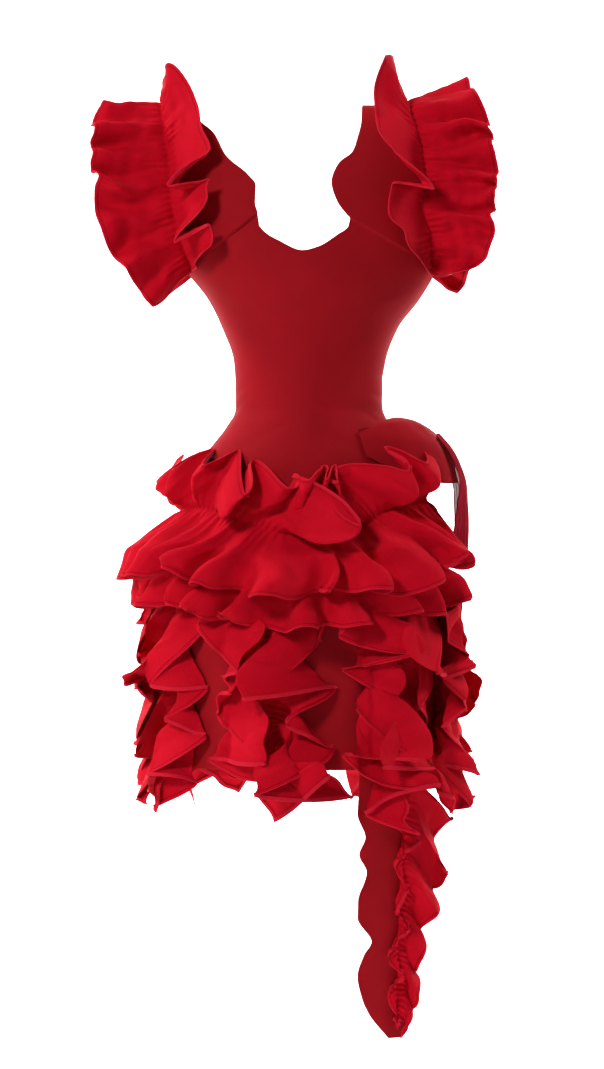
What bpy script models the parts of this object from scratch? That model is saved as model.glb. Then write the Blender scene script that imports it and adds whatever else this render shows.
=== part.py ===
"""A tiered ruffle dress as it hangs on a wearer, hollow, with nobody in it.

Metres, +Z up, the front faces -Y. The origin is the middle of the line between the two
shoulder seams. The body shape is a stack of sections. Most pieces are worked out in a
chart on that shape: angle round it, height, and distance off it.
"""

import math

import bpy
import numpy as np

# Driving sizes
WALL = 0.0016
GAP = 0.0003
WAIST_HALF = 0.098
HIP_HALF = 0.176
HEM_HALF = 0.168
BUST_FRONT = 0.116
HIP_DEPTH = 0.114
BASQUE = -0.550
HEM = -0.885
TAIL_END = -1.215
SEAM_ANGLE = 0.25
SHOULDER_GAP = 0.0004
ON_BODICE = WALL + GAP + WALL / 2
ON_STRAP = 0.0026

# Sections of the body shape: height, half width to the left and to the right, depth to
# the front and to the back.
SECTIONS = np.array([
    (-1.300, HEM_HALF, HEM_HALF, HIP_DEPTH, HIP_DEPTH),
    (HEM, HEM_HALF, HEM_HALF, HIP_DEPTH, HIP_DEPTH + 0.004),
    (-0.780, 0.172, 0.172, HIP_DEPTH, HIP_DEPTH + 0.006),
    (-0.660, HIP_HALF, HIP_HALF, HIP_DEPTH, HIP_DEPTH + 0.008),
    (-0.580, 0.171, 0.171, 0.111, HIP_DEPTH + 0.006),
    (-0.520, 0.160, 0.160, 0.106, 0.113),
    (-0.476, 0.140, 0.143, 0.099, 0.100),
    (-0.454, 0.123, 0.130, 0.095, 0.092),
    (-0.430, 0.105, 0.113, 0.091, 0.085),
    (-0.406, WAIST_HALF - 0.004, WAIST_HALF + 0.004, 0.088, 0.079),
    (-0.374, WAIST_HALF - 0.004, WAIST_HALF + 0.004, 0.089, 0.077),
    (-0.343, WAIST_HALF - 0.002, WAIST_HALF + 0.008, 0.092, 0.077),
    (-0.300, 0.111, 0.122, 0.101, 0.080),
    (-0.260, 0.131, 0.152, 0.112, 0.084),
    (-0.225, 0.158, 0.172, BUST_FRONT, 0.086),
    (-0.150, 0.205, 0.195, 0.106, 0.085),
    (-0.100, 0.215, 0.200, 0.088, 0.079),
    (-0.060, 0.218, 0.200, 0.069, 0.065),
    (-0.030, 0.220, 0.200, 0.050, 0.048),
    (-0.012, 0.220, 0.200, 0.032, 0.032),
    (-0.003, 0.220, 0.200, 0.015, 0.015),
    (0.000, 0.220, 0.200, 0.000, 0.000),
])

COLOURS = {
    "crepe": (0.258, 0.0056, 0.0091),
    "poplin": (0.485, 0.0030, 0.0140),
    "net": (0.430, 0.0560, 0.0800),
}


def smooth(at, knots, values):
    """The value at each place on a smooth curve through a short table."""
    knots, values = np.asarray(knots, float), np.asarray(values, float)
    if knots[0] > knots[-1]:
        knots, values = knots[::-1], values[::-1]
    step = np.diff(knots)
    slope = np.diff(values) / step
    tangent = np.empty(len(knots))
    tangent[1:-1] = np.where(slope[1:] * slope[:-1] > 0,
                             2 * slope[1:] * slope[:-1] / (slope[1:] + slope[:-1] + 1e-12), 0)
    tangent[0], tangent[-1] = slope[0], slope[-1]
    at = np.clip(np.asarray(at, float), knots[0], knots[-1])
    cell = np.clip(np.searchsorted(knots, at, side="right") - 1, 0, len(step) - 1)
    t = (at - knots[cell]) / step[cell]
    return ((1 + 2 * t) * (1 - t) ** 2 * values[cell] + t * (1 - t) ** 2 * step[cell] * tangent[cell]
            + t * t * (3 - 2 * t) * values[cell + 1] + t * t * (t - 1) * step[cell] * tangent[cell + 1])


def ease(low, high, value):
    """0 below low, 1 above high, and smooth between them."""
    t = np.clip((np.asarray(value, float) - low) / (high - low), 0, 1)
    return t * t * (3 - 2 * t)


def ripple(u, v, size, seed):
    """Uneven soft wrinkles, from about -1 to 1; size is the usual distance between them."""
    total = 0.0
    for turn, start, stretch in np.random.default_rng(seed).random((6, 3)):
        k = 2 * math.pi / (size * (0.7 + 0.9 * stretch))
        way = 2 * math.pi * turn
        total = total + np.sin(k * (u * math.cos(way) + v * math.sin(way)) + 2 * math.pi * start)
    return total / 3


def section(z):
    return [smooth(z, SECTIONS[:, 0], SECTIONS[:, column]) for column in range(1, 5)]


def on_body(degrees, z, off):
    """The point at an angle round the body (0 front, + to +X), a height, and a distance off it."""
    degrees, z, off = np.broadcast_arrays(degrees, z, off)
    left, right, front, back = section(z)
    angle = np.radians(degrees)
    half = np.where(np.sin(angle) < 0, left, right) + off
    depth = np.where(np.cos(angle) > 0, front, back) + off
    return np.stack([half * np.sin(angle), -depth * np.cos(angle), z], axis=-1)


def angle_at(x, z):
    """The angle at which the body has this x at this height, on its front."""
    left, right, _, _ = section(z)
    return np.degrees(np.arcsin(np.clip(x / np.where(x < 0, left, right), -1, 1)))


def on_shoulder(x, z, face):
    """The point of the shoulder strap surface at x and height z; face is -1 front, +1 back."""
    left, right, front, back = section(z)
    half = np.where(x < 0, left, right)
    depth = front if face < 0 else back
    oval = np.sqrt(np.clip(1 - (x / half) ** 2, 0, 1))
    flat = 1 / (1 + (x / (half - 0.016)) ** 4)
    mix = ease(-0.240, -0.165, z)
    return np.stack([x, face * (depth * (oval * (1 - mix) + flat * mix) + SHOULDER_GAP), z], axis=-1)


def material(name, cloth):
    made = bpy.data.materials.new(name)
    made.use_nodes = True
    shader = made.node_tree.nodes["Principled BSDF"]
    shader.inputs["Base Color"].default_value = (*COLOURS[cloth], 1)
    shader.inputs["Roughness"].default_value = 0.6 if cloth == "net" else 0.85
    shader.inputs["Metallic"].default_value = 0.0
    return made


def normals(points, quads):
    total = np.zeros_like(points)
    corners = points[quads]
    across = np.cross(corners[:, 2] - corners[:, 0], corners[:, 3] - corners[:, 1])
    for corner in range(4):
        np.add.at(total, quads[:, corner], across)
    return total / np.linalg.norm(total, axis=1, keepdims=True)


def cloth_wall(name, cloth, points, quads, thickness=WALL):
    """One closed wall, half its thickness to each side of a surface of four-sided cells.

    Both sides of a cell are split along the same diagonal, so that a twisted cell keeps its wall.
    """
    offset = normals(points, quads) * thickness / 2
    halves = np.concatenate([quads[:, [0, 1, 2]], quads[:, [0, 2, 3]]])
    count = len(points)
    edges = {}
    for quad in quads:
        for a, b in zip(quad, np.roll(quad, -1)):
            edges[(a, b)] = edges.get((a, b), 0) + 1
    rims = [(b, a, a + count, b + count) for a, b in edges if (b, a) not in edges]
    faces = [tuple(half) for half in halves]
    faces += [tuple(half[::-1] + count) for half in halves] + rims
    mesh = bpy.data.meshes.new(name)
    both = np.concatenate([points + offset, points - offset])
    mesh.from_pydata(both.tolist(), [], [tuple(int(i) for i in face) for face in faces])
    mesh.update()
    mesh.shade_smooth()
    mesh.set_sharp_from_angle(angle=math.radians(60))
    made = bpy.data.objects.new(name, mesh)
    made.data.materials.append(material(name, cloth))
    bpy.context.scene.collection.objects.link(made)
    return made


def grid_cells(rows, columns):
    index = np.arange(rows * columns).reshape(rows, columns)
    cells = [index[:-1, :-1], index[:-1, 1:], index[1:, 1:], index[1:, :-1]]
    return np.stack(cells, axis=-1).reshape(-1, 4)


def grid_wall(name, cloth, grid, facing, thickness=WALL):
    """A wall on a grid of points, its outer side turned towards facing at its middle."""
    rows, columns = grid.shape[:2]
    points, quads = grid.reshape(-1, 3), grid_cells(rows, columns)
    if (normals(points, quads) @ np.asarray(facing, float)).sum() < 0:
        quads = quads[:, ::-1]
    return cloth_wall(name, cloth, points, quads, thickness)


# Bodice: a front and two back halves that meet at a centre-back seam, each cut in one
# with its straps. Rows climb from the basque line to the top line, then up the straps.

# Left strap, front: inner edge x and height, outer (armhole) edge x and height
LEFT_FRONT_STRAP = (
    (-0.064, -0.153, -0.157, -0.225), (-0.068, -0.136, -0.170, -0.192),
    (-0.067, -0.115, -0.180, -0.155), (-0.078, -0.099, -0.184, -0.120),
    (-0.106, -0.074, -0.187, -0.085), (-0.123, -0.042, -0.193, -0.048),
    (-0.143, -0.022, -0.197, -0.022), (-0.147, -0.007, -0.199, -0.007),
    (-0.150, 0.000, -0.200, 0.000))
RIGHT_FRONT_STRAP = (
    (0.058, -0.159, 0.171, -0.225), (0.041, -0.135, 0.170, -0.180),
    (0.034, -0.110, 0.160, -0.140), (0.043, -0.085, 0.165, -0.108),
    (0.062, -0.068, 0.163, -0.080), (0.069, -0.048, 0.158, -0.052),
    (0.074, -0.026, 0.150, -0.026), (0.075, -0.007, 0.141, -0.007),
    (0.076, 0.000, 0.138, 0.000))
LEFT_BACK_STRAP = (
    (-0.098, -0.212, -0.157, -0.225), (-0.112, -0.165, -0.172, -0.185),
    (-0.125, -0.110, -0.184, -0.130), (-0.135, -0.060, -0.190, -0.070),
    (-0.143, -0.022, -0.197, -0.022), (-0.147, -0.007, -0.199, -0.007),
    (-0.150, 0.000, -0.200, 0.000))
RIGHT_BACK_STRAP = (
    (0.100, -0.216, 0.171, -0.225), (0.093, -0.170, 0.170, -0.180),
    (0.088, -0.115, 0.164, -0.125), (0.082, -0.060, 0.160, -0.068),
    (0.077, -0.024, 0.150, -0.026), (0.076, -0.007, 0.141, -0.007),
    (0.076, 0.000, 0.138, 0.000))
# Front neckline between the straps, x and height
NECKLINE = ((-0.062, -0.169), (-0.034, -0.190), (-0.005, -0.202),
            (0.016, -0.197), (0.043, -0.180), (0.056, -0.170))
# Back neckline, angle and height
BACK_SCOOP = ((-180, -0.335), (-165, -0.322), (-152, -0.285), (-142, -0.238))
STRAP_CELLS = 3
BODICE_ROWS = 9


def strap_rows(table, face, inner_first):
    across = np.linspace(0, 1, STRAP_CELLS + 1)
    rows = []
    for inner_x, inner_z, outer_x, outer_z in table:
        x = inner_x + (outer_x - inner_x) * across
        z = inner_z + (outer_z - inner_z) * across
        row = on_shoulder(x, z, face)
        rows.append(row if inner_first else row[::-1])
    return np.array(rows)


def lower_panel(top_angles, top_heights, first_angle, last_angle):
    """Rows between the basque line and the top line; the angles even out towards the bottom."""
    rise = np.linspace(0, 1, BODICE_ROWS + 1)[:, None] ** 0.9
    even = np.linspace(first_angle, last_angle, len(top_angles))
    angles = even + (top_angles - even) * ease(0.1, 1.0, rise)
    bottom = BASQUE + GAP / 2
    return on_body(angles, bottom + (top_heights - bottom) * rise, WALL / 2)


def join_rows(panel, straps):
    """Points and cells of a panel and of straps that grow from stretches of its top row."""
    rows, columns = panel.shape[:2]
    points, cells = [panel.reshape(-1, 3)], [grid_cells(rows, columns)]
    count = rows * columns
    for first, strap in straps:
        base = (rows - 1) * columns + first + np.arange(strap.shape[1])
        above = count + np.arange((len(strap) - 1) * strap.shape[1]).reshape(-1, strap.shape[1])
        index = np.vstack([base, above])
        cells.append(np.stack([index[:-1, :-1], index[:-1, 1:], index[1:, 1:], index[1:, :-1]],
                              axis=-1).reshape(-1, 4))
        points.append(strap[1:].reshape(-1, 3))
        count += above.size
    return np.concatenate(points), np.concatenate(cells)


def strap_base(table):
    """Angle and height of a strap's lowest row, from its inner to its outer edge."""
    inner_x, inner_z, outer_x, outer_z = table[0]
    across = np.linspace(0, 1, STRAP_CELLS + 1)
    x = inner_x + (outer_x - inner_x) * across
    z = inner_z + (outer_z - inner_z) * across
    return angle_at(x, z), z


def bodice_front():
    left_angle, left_z = strap_base(LEFT_FRONT_STRAP)
    right_angle, right_z = strap_base(RIGHT_FRONT_STRAP)
    neck = np.array(NECKLINE)
    top_angles = np.concatenate([left_angle[::-1], angle_at(neck[:, 0], neck[:, 1]), right_angle])
    top_heights = np.concatenate([left_z[::-1], neck[:, 1], right_z])
    top_angles[0], top_angles[-1] = -90 + SEAM_ANGLE, 90 - SEAM_ANGLE
    panel = lower_panel(top_angles, top_heights, -90 + SEAM_ANGLE, 90 - SEAM_ANGLE)
    left = strap_rows(LEFT_FRONT_STRAP, -1, False)
    right = strap_rows(RIGHT_FRONT_STRAP, -1, True)
    points, cells = join_rows(panel, [(0, left), (panel.shape[1] - STRAP_CELLS - 1, right)])
    cloth_wall("bodice_front", "crepe", points, cells)


def bodice_back(name, side, table):
    angles, heights = strap_base(table)
    angles, heights = (180 - np.abs(angles))[::-1], heights[::-1]
    angles[0] = 90 + SEAM_ANGLE
    scoop = np.array(BACK_SCOOP[::-1])
    top_angles = np.concatenate([angles, np.abs(scoop[:, 0])])
    top_angles[-1] -= SEAM_ANGLE
    top_heights = np.concatenate([heights, scoop[:, 1]])
    panel = lower_panel(side * top_angles, top_heights, side * (90 + SEAM_ANGLE),
                        side * (180 - SEAM_ANGLE))
    points, cells = join_rows(panel, [(0, strap_rows(table, 1, False))])
    cloth_wall(name, "crepe", points, cells if side > 0 else cells[:, ::-1])


# Plain skirt under the ruffles: a front and a back, fitted, from the basque line to the hem.
SKIRT_COLUMNS = 14
SKIRT_HEIGHTS = (BASQUE - GAP / 2, -0.610, -0.680, -0.760, -0.830, HEM)


def skirt_panel(name, first, last, facing):
    angles = np.linspace(first + SEAM_ANGLE, last - SEAM_ANGLE, SKIRT_COLUMNS + 1)
    grid = on_body(angles[None, :], np.array(SKIRT_HEIGHTS)[:, None], WALL / 2)
    grid_wall(name, "crepe", grid, facing)


# Layering: a map of how far the finished cloth stands off the body, by angle and height,
# so that each later ruffle lies over the earlier ones.
MAP_DEGREES = 2.0
MAP_STEP = 0.005
MAP_LOW = -1.300
MAP_SHAPE = (180, 260)
MAP_REACH = 4
LAYER_AIR = 0.004
covered = np.zeros(MAP_SHAPE)


def widened(field, cells, take):
    for axis in (0, 1):
        shifts = [np.roll(field, step, axis) for step in range(-cells, cells + 1)]
        field = take(shifts, axis=0)
    return field


def clearance(degrees, z):
    """How far off the body a new layer must be, smoothed so that it stays a gentle surface."""
    field = widened(widened(covered, MAP_REACH, np.max), 2, np.mean)
    row = (np.asarray(degrees) % 360 / MAP_DEGREES).astype(int) % MAP_SHAPE[0]
    column = np.clip(((np.asarray(z) - MAP_LOW) / MAP_STEP).astype(int), 0, MAP_SHAPE[1] - 1)
    return np.where(field[row, column] > 0, field[row, column] + LAYER_AIR, 0)


def cover(degrees, z, off):
    """Adds a finished surface, given as grids, to the map."""
    fine = np.linspace(0, 1, 7)
    corners = [[g[:-1, :-1], g[:-1, 1:], g[1:, :-1], g[1:, 1:]] for g in (degrees, z, off)]
    for s in fine:
        for t in fine:
            weights = ((1 - s) * (1 - t), (1 - s) * t, s * (1 - t), s * t)
            d, h, o = [sum(w * c for w, c in zip(weights, four)) for four in corners]
            row = (d % 360 / MAP_DEGREES).astype(int) % MAP_SHAPE[0]
            column = np.clip(((h - MAP_LOW) / MAP_STEP).astype(int), 0, MAP_SHAPE[1] - 1)
            np.maximum.at(covered, (row, column), o + WALL)


# Ruffles: a strip gathered along a line, with a wing to each side of it. Each wing has a
# table of folds, one row per fold: where its crest is along the line, how far the crest
# stands off in millimetres, how far the wing turns down along the line in degrees, and how
# far the crest leans along the line for each metre that it stands off.
VALLEY_LIFT, ARCH = 0.08, 1.6
# The walls' folds are plainer than the tables': share of the lift, the turn and the lean
FOLD_SHARES = (0.7, 0.7, 0.5)
# How unevenly the folds swing aside, in radians, and stand off, and over what distances
UNEVEN_TURN, UNEVEN_LIFT, TURN_SIZE, LIFT_SIZE = 0.1, 0.1, 0.08, 0.09
STEEPEST = 0.93
# Air under a wing, rows of cells across it, and the part of its line over which its way off
# the line is evened out
WING_AIR, WING_ROWS, LINE_SHARE = 0.0025, 3, 7


def folds_at(at, table):
    """Along a wing: wave (0 in a valley, 1 on a crest), lift, turn and lean."""
    table = np.array(table, float)
    table = table[np.argsort(table[:, 0])]
    crest = table[:, 0]
    turns = np.interp(at, crest, np.arange(len(crest)))
    first, last = crest[1] - crest[0], crest[-1] - crest[-2]
    turns = np.where(at < crest[0], (at - crest[0]) / first, turns)
    turns = np.where(at > crest[-1], len(crest) - 1 + (at - crest[-1]) / last, turns)
    wave = 0.5 + 0.5 * np.cos(2 * math.pi * turns)
    lift, turn, lean = [share * smooth(at, crest, table[:, k + 1]) for k, share in enumerate(FOLD_SHARES)]
    return wave, lift / 1000, np.radians(turn), lean


def wing_form(place, at, table, width, seed, rows=WING_ROWS):
    """A gathered wing laid out in steps from its line: aside, forward along the line, and off.

    place is metres along the line. The cloth keeps its width, so where a fold stands off it
    reaches less far aside. Rows run out from the line.
    """
    t = np.linspace(0, 1, rows + 1)[:, None]
    wave, lift, turn, lean = folds_at(at, table)
    spot = (place + 0 * t, width * t)
    arch = (1 - (1 - t) ** ARCH) * (1 + UNEVEN_LIFT * ripple(*spot, LIFT_SIZE, seed + 6))
    rise = lift * (VALLEY_LIFT + (1 - VALLEY_LIFT) * wave) * arch
    stride = width / rows
    steep = np.clip(np.diff(rise, axis=0) / stride, -STEEPEST, STEEPEST)
    stride = stride * np.sqrt(1 - steep ** 2)
    way = turn * ease(0, 0.55, t) + UNEVEN_TURN * ripple(*spot, TURN_SIZE, seed + 1) * t
    middle = (way[1:] + way[:-1]) / 2
    zero = np.zeros((1, len(at)))
    aside = np.vstack([zero, np.cumsum(stride * np.cos(middle), axis=0)])
    forward = np.vstack([zero, np.cumsum(stride * np.sin(middle), axis=0)])
    slide = lean * rise * (0.5 + 0.5 * t)
    return aside - np.sin(way) * slide, forward + np.cos(way) * slide, rise


def running_mean(values, reach):
    """The mean over this many places to each side, with the end values held."""
    window = np.ones(2 * reach + 1) / (2 * reach + 1)
    return np.convolve(np.pad(values, reach, mode="edge"), window, mode="valid")


def hip_wing(line, at, table, across, width, sag, rows, seed):
    """Angle, height and distance off the body of a wing of a ruffle on the hips.

    The wing's way off its line bends less sharply than the line, so it doesn't fan into itself.
    """
    degrees, z = line
    left, right, front, back = section(z)
    radius = (left + right + front + back) / 4
    along_d, along_z = np.gradient(np.radians(degrees) * radius), np.gradient(z)
    length = np.hypot(along_d, along_z)
    along_d, along_z = [running_mean(way / length, len(at) // LINE_SHARE) for way in (along_d, along_z)]
    along_d, along_z = along_d / np.hypot(along_d, along_z), along_z / np.hypot(along_d, along_z)
    side_d, side_z = -along_z * across, along_d * across
    place = np.concatenate([[0], np.cumsum(length[1:])])
    aside, forward, rise = wing_form(place, at, table, width, seed, rows)
    d = degrees + np.degrees((side_d * aside + along_d * forward) / radius)
    height = z + side_z * aside + along_z * forward
    t = np.linspace(0, 1, rows + 1)[:, None]
    off = ON_BODICE + ease(0, 0.45, t) * clearance(d, height) + WING_AIR * ease(0, 0.3, t) + rise
    return d[1:], (height - sag * rise * ease(0, 0.3, t))[1:], off[1:]


def hip_ruffle(name, points, first, last, columns, wings, seed):
    """A ruffle whose gather line is a table (where, angle, height) on the body.

    Each wing is (folds, across, width, sag, rows).
    """
    points = np.array(points, float)
    at = np.linspace(first, last, columns + 1)
    degrees = smooth(at, points[:, 0], points[:, 1])
    z = smooth(at, points[:, 0], points[:, 2])
    low, high = [hip_wing((degrees, z), at, *wing, seed + 10 * number)
                 for number, wing in enumerate(wings)]
    seam = (degrees[None], z[None], np.full((1, len(at)), ON_BODICE))
    d, z, off = [np.vstack([high[k][::-1], seam[k], low[k]]) for k in range(3)]
    cover(d, z, off)
    middle = on_body(d.mean(), z.mean(), 1.0) - on_body(d.mean(), z.mean(), 0.0)
    grid_wall(name, "poplin", on_body(d, z, off), middle)


# Tail: a plain panel that hangs below the hem on the wearer's left, with a ruffle down it.
# Rows: height, left edge x, right edge x
TAIL_ROWS = (
    (-0.889, 0.070, 0.128), (-0.918, 0.069, 0.130), (-0.943, 0.068, 0.132), (-0.974, 0.078, 0.133),
    (-0.997, 0.070, 0.133), (-1.020, 0.080, 0.133), (-1.060, 0.068, 0.132), (-1.080, 0.068, 0.131),
    (-1.112, 0.086, 0.132), (-1.130, 0.076, 0.132), (-1.158, 0.068, 0.132), (-1.188, 0.074, 0.131),
    (-1.210, 0.084, 0.130), (-1.228, 0.098, 0.125), (-1.240, 0.108, 0.119))
TAIL_COLUMNS = 4
TAIL_LINE = ((-0.900, 46), (-0.974, 48), (-1.060, 46), (-1.150, 45), (TAIL_END, 44))
TAIL_FOLDS = (
    ((-0.915, 14, 60, 0.9), (-0.958, 16, 62, 0.9), (-1.010, 14, 66, 0.9), (-1.060, 12, 66, 0.9),
     (-1.120, 14, 66, 0.9), (-1.175, 14, 66, 0.9), (-1.212, 12, 66, 0.8)),
    ((-0.905, 24, 40, 1.0), (-0.945, 36, 48, 1.1), (-0.995, 34, 50, 1.1), (-1.038, 26, 62, 1.0),
     (-1.085, 20, 66, 1.0), (-1.140, 24, 60, 1.0), (-1.190, 20, 66, 0.9)))
TAIL_RUFFLE_COLUMNS = 32
TAIL_WINGS = (0.030, 0.062)


def tail():
    table = np.array(TAIL_ROWS)
    across = np.linspace(0, 1, TAIL_COLUMNS + 1)
    x = table[:, 1:2] + (table[:, 2:3] - table[:, 1:2]) * across
    z = np.broadcast_to(table[:, :1], x.shape)
    grid_wall("tail_panel", "crepe", on_body(angle_at(x, z), z, WALL / 2), (0, -1, 0))
    line = [(z, degrees, z) for z, degrees in TAIL_LINE][::-1]
    left, right = TAIL_FOLDS
    wings = [(right, 1, TAIL_WINGS[1], 0, WING_ROWS), (left, -1, TAIL_WINGS[0], 0, WING_ROWS)]
    hip_ruffle("tail_ruffle", line, line[-1][0], line[0][0], TAIL_RUFFLE_COLUMNS, wings, 500)


# Hanging strips on the skirt, and each one's gather line (height, angle)
STRIP_COLUMNS, BACK_COLUMNS, STRIP_WING = 31, 23, 0.080
STRIP_LINES = {
    "strip_side_left": ((-0.618, -76), (-0.700, -72), (-0.780, -73), (-0.866, -75)),
    "strip_centre_left": ((-0.628, -17), (-0.765, -15), (-0.816, -16), (-0.840, -12), (-0.872, -8)),
    "strip_centre_right": ((-0.622, 28), (-0.683, 36), (-0.733, 41), (-0.807, 38), (-0.890, 43)),
    "strip_side_right": ((-0.618, 82), (-0.720, 85), (-0.820, 83), (-0.868, 81)),
}
STRIP_FOLDS = {
    "strip_side_left": (
        ((-0.622, 16, 44, 0.8), (-0.670, 58, 38, 0.9), (-0.722, 78, 44, 0.9), (-0.778, 56, 52, 0.9),
         (-0.832, 44, 58, 1.0), (-0.862, 28, 64, 0.8)),
        ((-0.620, 14, 48, 0.9), (-0.684, 46, 60, 1.2), (-0.742, 38, 50, 1.1), (-0.796, 50, 64, 1.1),
         (-0.850, 36, 66, 1.0))),
    "strip_centre_left": (
        ((-0.615, 14, 46, 1.0), (-0.660, 46, 52, 1.2), (-0.715, 34, 62, 1.0), (-0.772, 56, 54, 1.2),
         (-0.826, 42, 62, 1.0), (-0.864, 28, 66, 0.9)),
        ((-0.620, 14, 48, 1.0), (-0.692, 58, 62, 1.2), (-0.750, 34, 50, 1.0), (-0.806, 56, 64, 1.2),
         (-0.860, 38, 64, 1.0))),
    "strip_centre_right": (
        ((-0.612, 14, 46, 1.0), (-0.656, 42, 52, 1.2), (-0.708, 38, 64, 1.0), (-0.764, 58, 54, 1.2),
         (-0.820, 38, 64, 1.0), (-0.862, 30, 64, 0.9)),
        ((-0.610, 14, 44, 1.0), (-0.678, 58, 54, 1.1), (-0.732, 34, 64, 1.0), (-0.788, 54, 56, 1.1),
         (-0.848, 40, 62, 1.0))),
    "strip_side_right": (
        ((-0.616, 14, 46, 0.9), (-0.680, 44, 58, 1.1), (-0.738, 36, 48, 1.0), (-0.796, 48, 62, 1.1),
         (-0.848, 36, 62, 1.0)),
        ((-0.616, 22, 44, 0.8), (-0.668, 46, 42, 0.8), (-0.726, 54, 54, 0.9), (-0.784, 42, 50, 0.8),
         (-0.842, 46, 60, 0.9))),
}
BACK_STRIPS = {"strip_back_far_left": -118, "strip_back_left": -156,
               "strip_back_right": 165, "strip_back_far_right": 128}
BACK_FOLDS = 5
BACK_TOP, BACK_BOTTOM = -0.625, HEM + 0.002
# Folds of the back: lift, turn and lean, each with its swing from fold to fold
BACK_LIFT, BACK_TURN, BACK_LEAN = (38, 9), (48, 10), (1.1, 0.15)


def front_strip(name, number):
    line = [(z, degrees, z) for z, degrees in STRIP_LINES[name]][::-1]
    wings = [(folds, across, STRIP_WING, 0, WING_ROWS) for folds, across in zip(STRIP_FOLDS[name], (-1, 1))]
    hip_ruffle(name, line, line[-1][0], line[0][0], STRIP_COLUMNS, wings, 100 + 40 * number)


def back_strip(name, degrees, number):
    """A strip on the back: its folds vary a little, as the front ones do."""
    top, bottom = BACK_TOP, BACK_BOTTOM
    line = [(bottom, degrees, bottom), (-0.740, degrees + 3 * math.sin(number), -0.740), (top, degrees, top)]
    wings = []
    for wing, across in ((0, 1), (1, -1)):
        table = []
        for fold in range(BACK_FOLDS):
            share = (fold + 0.20 * math.sin(3 * fold + wing + number)) / BACK_FOLDS
            swing = math.sin(2.3 * fold + 1.7 * number + 2.1 * wing)
            lift, turn, lean = [mean + change * swing for mean, change in (BACK_LIFT, BACK_TURN, BACK_LEAN)]
            table.append((top + (bottom - top) * share, lift * ease(-1, 1, fold), turn, lean))
        wings.append((table, across, STRIP_WING, 0, WING_ROWS))
    hip_ruffle(name, line, top, bottom, BACK_COLUMNS, wings, 300 + 40 * number)


# Hip drape: a smooth puff that springs from the waist over the wearer's left hip.
# Rows: height, distance off the body at the side
DRAPE_ROWS = ((-0.4220, 0.0044), (-0.4190, 0.016), (-0.4220, 0.032), (-0.4330, 0.046),
              (-0.4520, 0.052), (-0.4780, 0.050), (-0.5060, 0.044))
DRAPE_AIR = 0.0025
DRAPE_ANGLES = (34, 40, 47, 55, 64, 74, 84, 94, 104, 114, 124, 134, 143)


def drape_swell(degrees):
    return ease(30, 74, degrees) * (1 - ease(108, 150, degrees))


def hip_drape():
    rows = np.array(DRAPE_ROWS)
    degrees, z = np.meshgrid(np.array(DRAPE_ANGLES, float), rows[:, 0])
    swell = drape_swell(degrees)
    air = DRAPE_AIR * np.minimum(np.arange(len(rows)), 1)[:, None]
    off = ON_BODICE + air + (rows[:, 1:2] - 0.002) * swell
    z = -0.436 + (z + 0.436) * (0.25 + 0.75 * np.sqrt(swell)) - 0.010 * (1 - swell)
    cover(degrees, z, off)
    grid_wall("hip_drape", "crepe", on_body(degrees, z, off), (1, 0, 0))


# Net drape: gathered net over the puff at the side. Rows: height, distance off the body
NET_ROWS = ((-0.4400, 0.057), (-0.4620, 0.060), (-0.4950, 0.059), (-0.5300, 0.053),
            (-0.5700, 0.047), (-0.6060, 0.042))
NET_FIRST, NET_LAST = 75, 113
NET_FOLDS = 5
NET_DEPTH = 0.005
NET_WALL = 0.0012
NET_AIR = 0.0023


def net_drape():
    rows = np.array(NET_ROWS)
    across = np.linspace(0, 1, NET_FOLDS * 3 + 1)
    degrees = NET_FIRST + (NET_LAST - NET_FIRST) * across[None, :]
    z = np.broadcast_to(rows[:, :1], (len(rows), across.size))
    fold = 0.5 + 0.5 * np.cos(2 * math.pi * NET_FOLDS * across)
    spread = ease(-0.45, -0.62, z) * 0.4 + 0.6
    off = rows[:, 1:2] - NET_DEPTH * (1 - fold[None, :]) * spread + NET_AIR
    drop = np.broadcast_to(0.012 * np.abs(across - 0.4), z.shape)
    degrees = np.broadcast_to(degrees, z.shape)
    cover(degrees, z - drop, off)
    grid_wall("net_drape", "net", on_body(degrees, z - drop, off), (1, 0, 0), NET_WALL)


# Hip ruffles: two tiers, each a strip gathered along a line that dips at the front.
# Folds: angle, lift, turn, lean along the line
UPPER_LINE = ((-105, -105, -0.545), (-56, -56, -0.541), (-36, -36, -0.553), (-22, -22, -0.565),
              (-7, -7, -0.575), (6, 6, -0.566), (24, 24, -0.563), (39, 39, -0.544),
              (53, 53, -0.536), (70, 70, -0.530))
UPPER_TOP_FOLDS = (
    (-92, 44, 0, -0.5), (-72, 42, 0, 0.2), (-54, 30, 0, 0.5), (-38, 46, 0, 0.9), (-14, 54, 0, 1.0),
    (4, 26, 0, 0.2), (18, 34, 0, -0.4), (40, 44, 0, 0.4), (62, 34, 0, -0.3))
UPPER_LOW_FOLDS = (
    (-94, 34, 0, -0.8), (-80, 40, 0, -0.9), (-66, 34, 0, -0.6), (-52, 44, 0, -0.9), (-39, 34, 0, -0.6),
    (-26, 46, 0, -1.0), (-13, 36, 0, -0.5), (0, 30, 0, 0.2), (12, 42, 0, 1.0), (24, 34, 0, 0.6),
    (37, 46, 0, 0.9), (51, 36, 0, 0.5), (65, 34, 0, -0.4))
LOWER_LINE = ((-105, -105, -0.580), (-60, -60, -0.582), (-30, -30, -0.600), (-7, -7, -0.614),
              (20, 20, -0.602), (45, 45, -0.588), (70, 70, -0.576))
LOWER_FOLDS = (
    (-94, 34, 0, -0.9), (-76, 38, 0, -0.7), (-56, 34, 0, -0.6), (-38, 38, 0, -0.9), (-20, 36, 0, -0.9),
    (-4, 30, 0, 0.3), (12, 34, 0, 0.9), (28, 36, 0, 0.8), (45, 32, 0, 0.6), (62, 34, 0, 0.0))
HEADING, TIER_WING, HEADING_LIFT = 0.012, 0.082, 3
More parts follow.
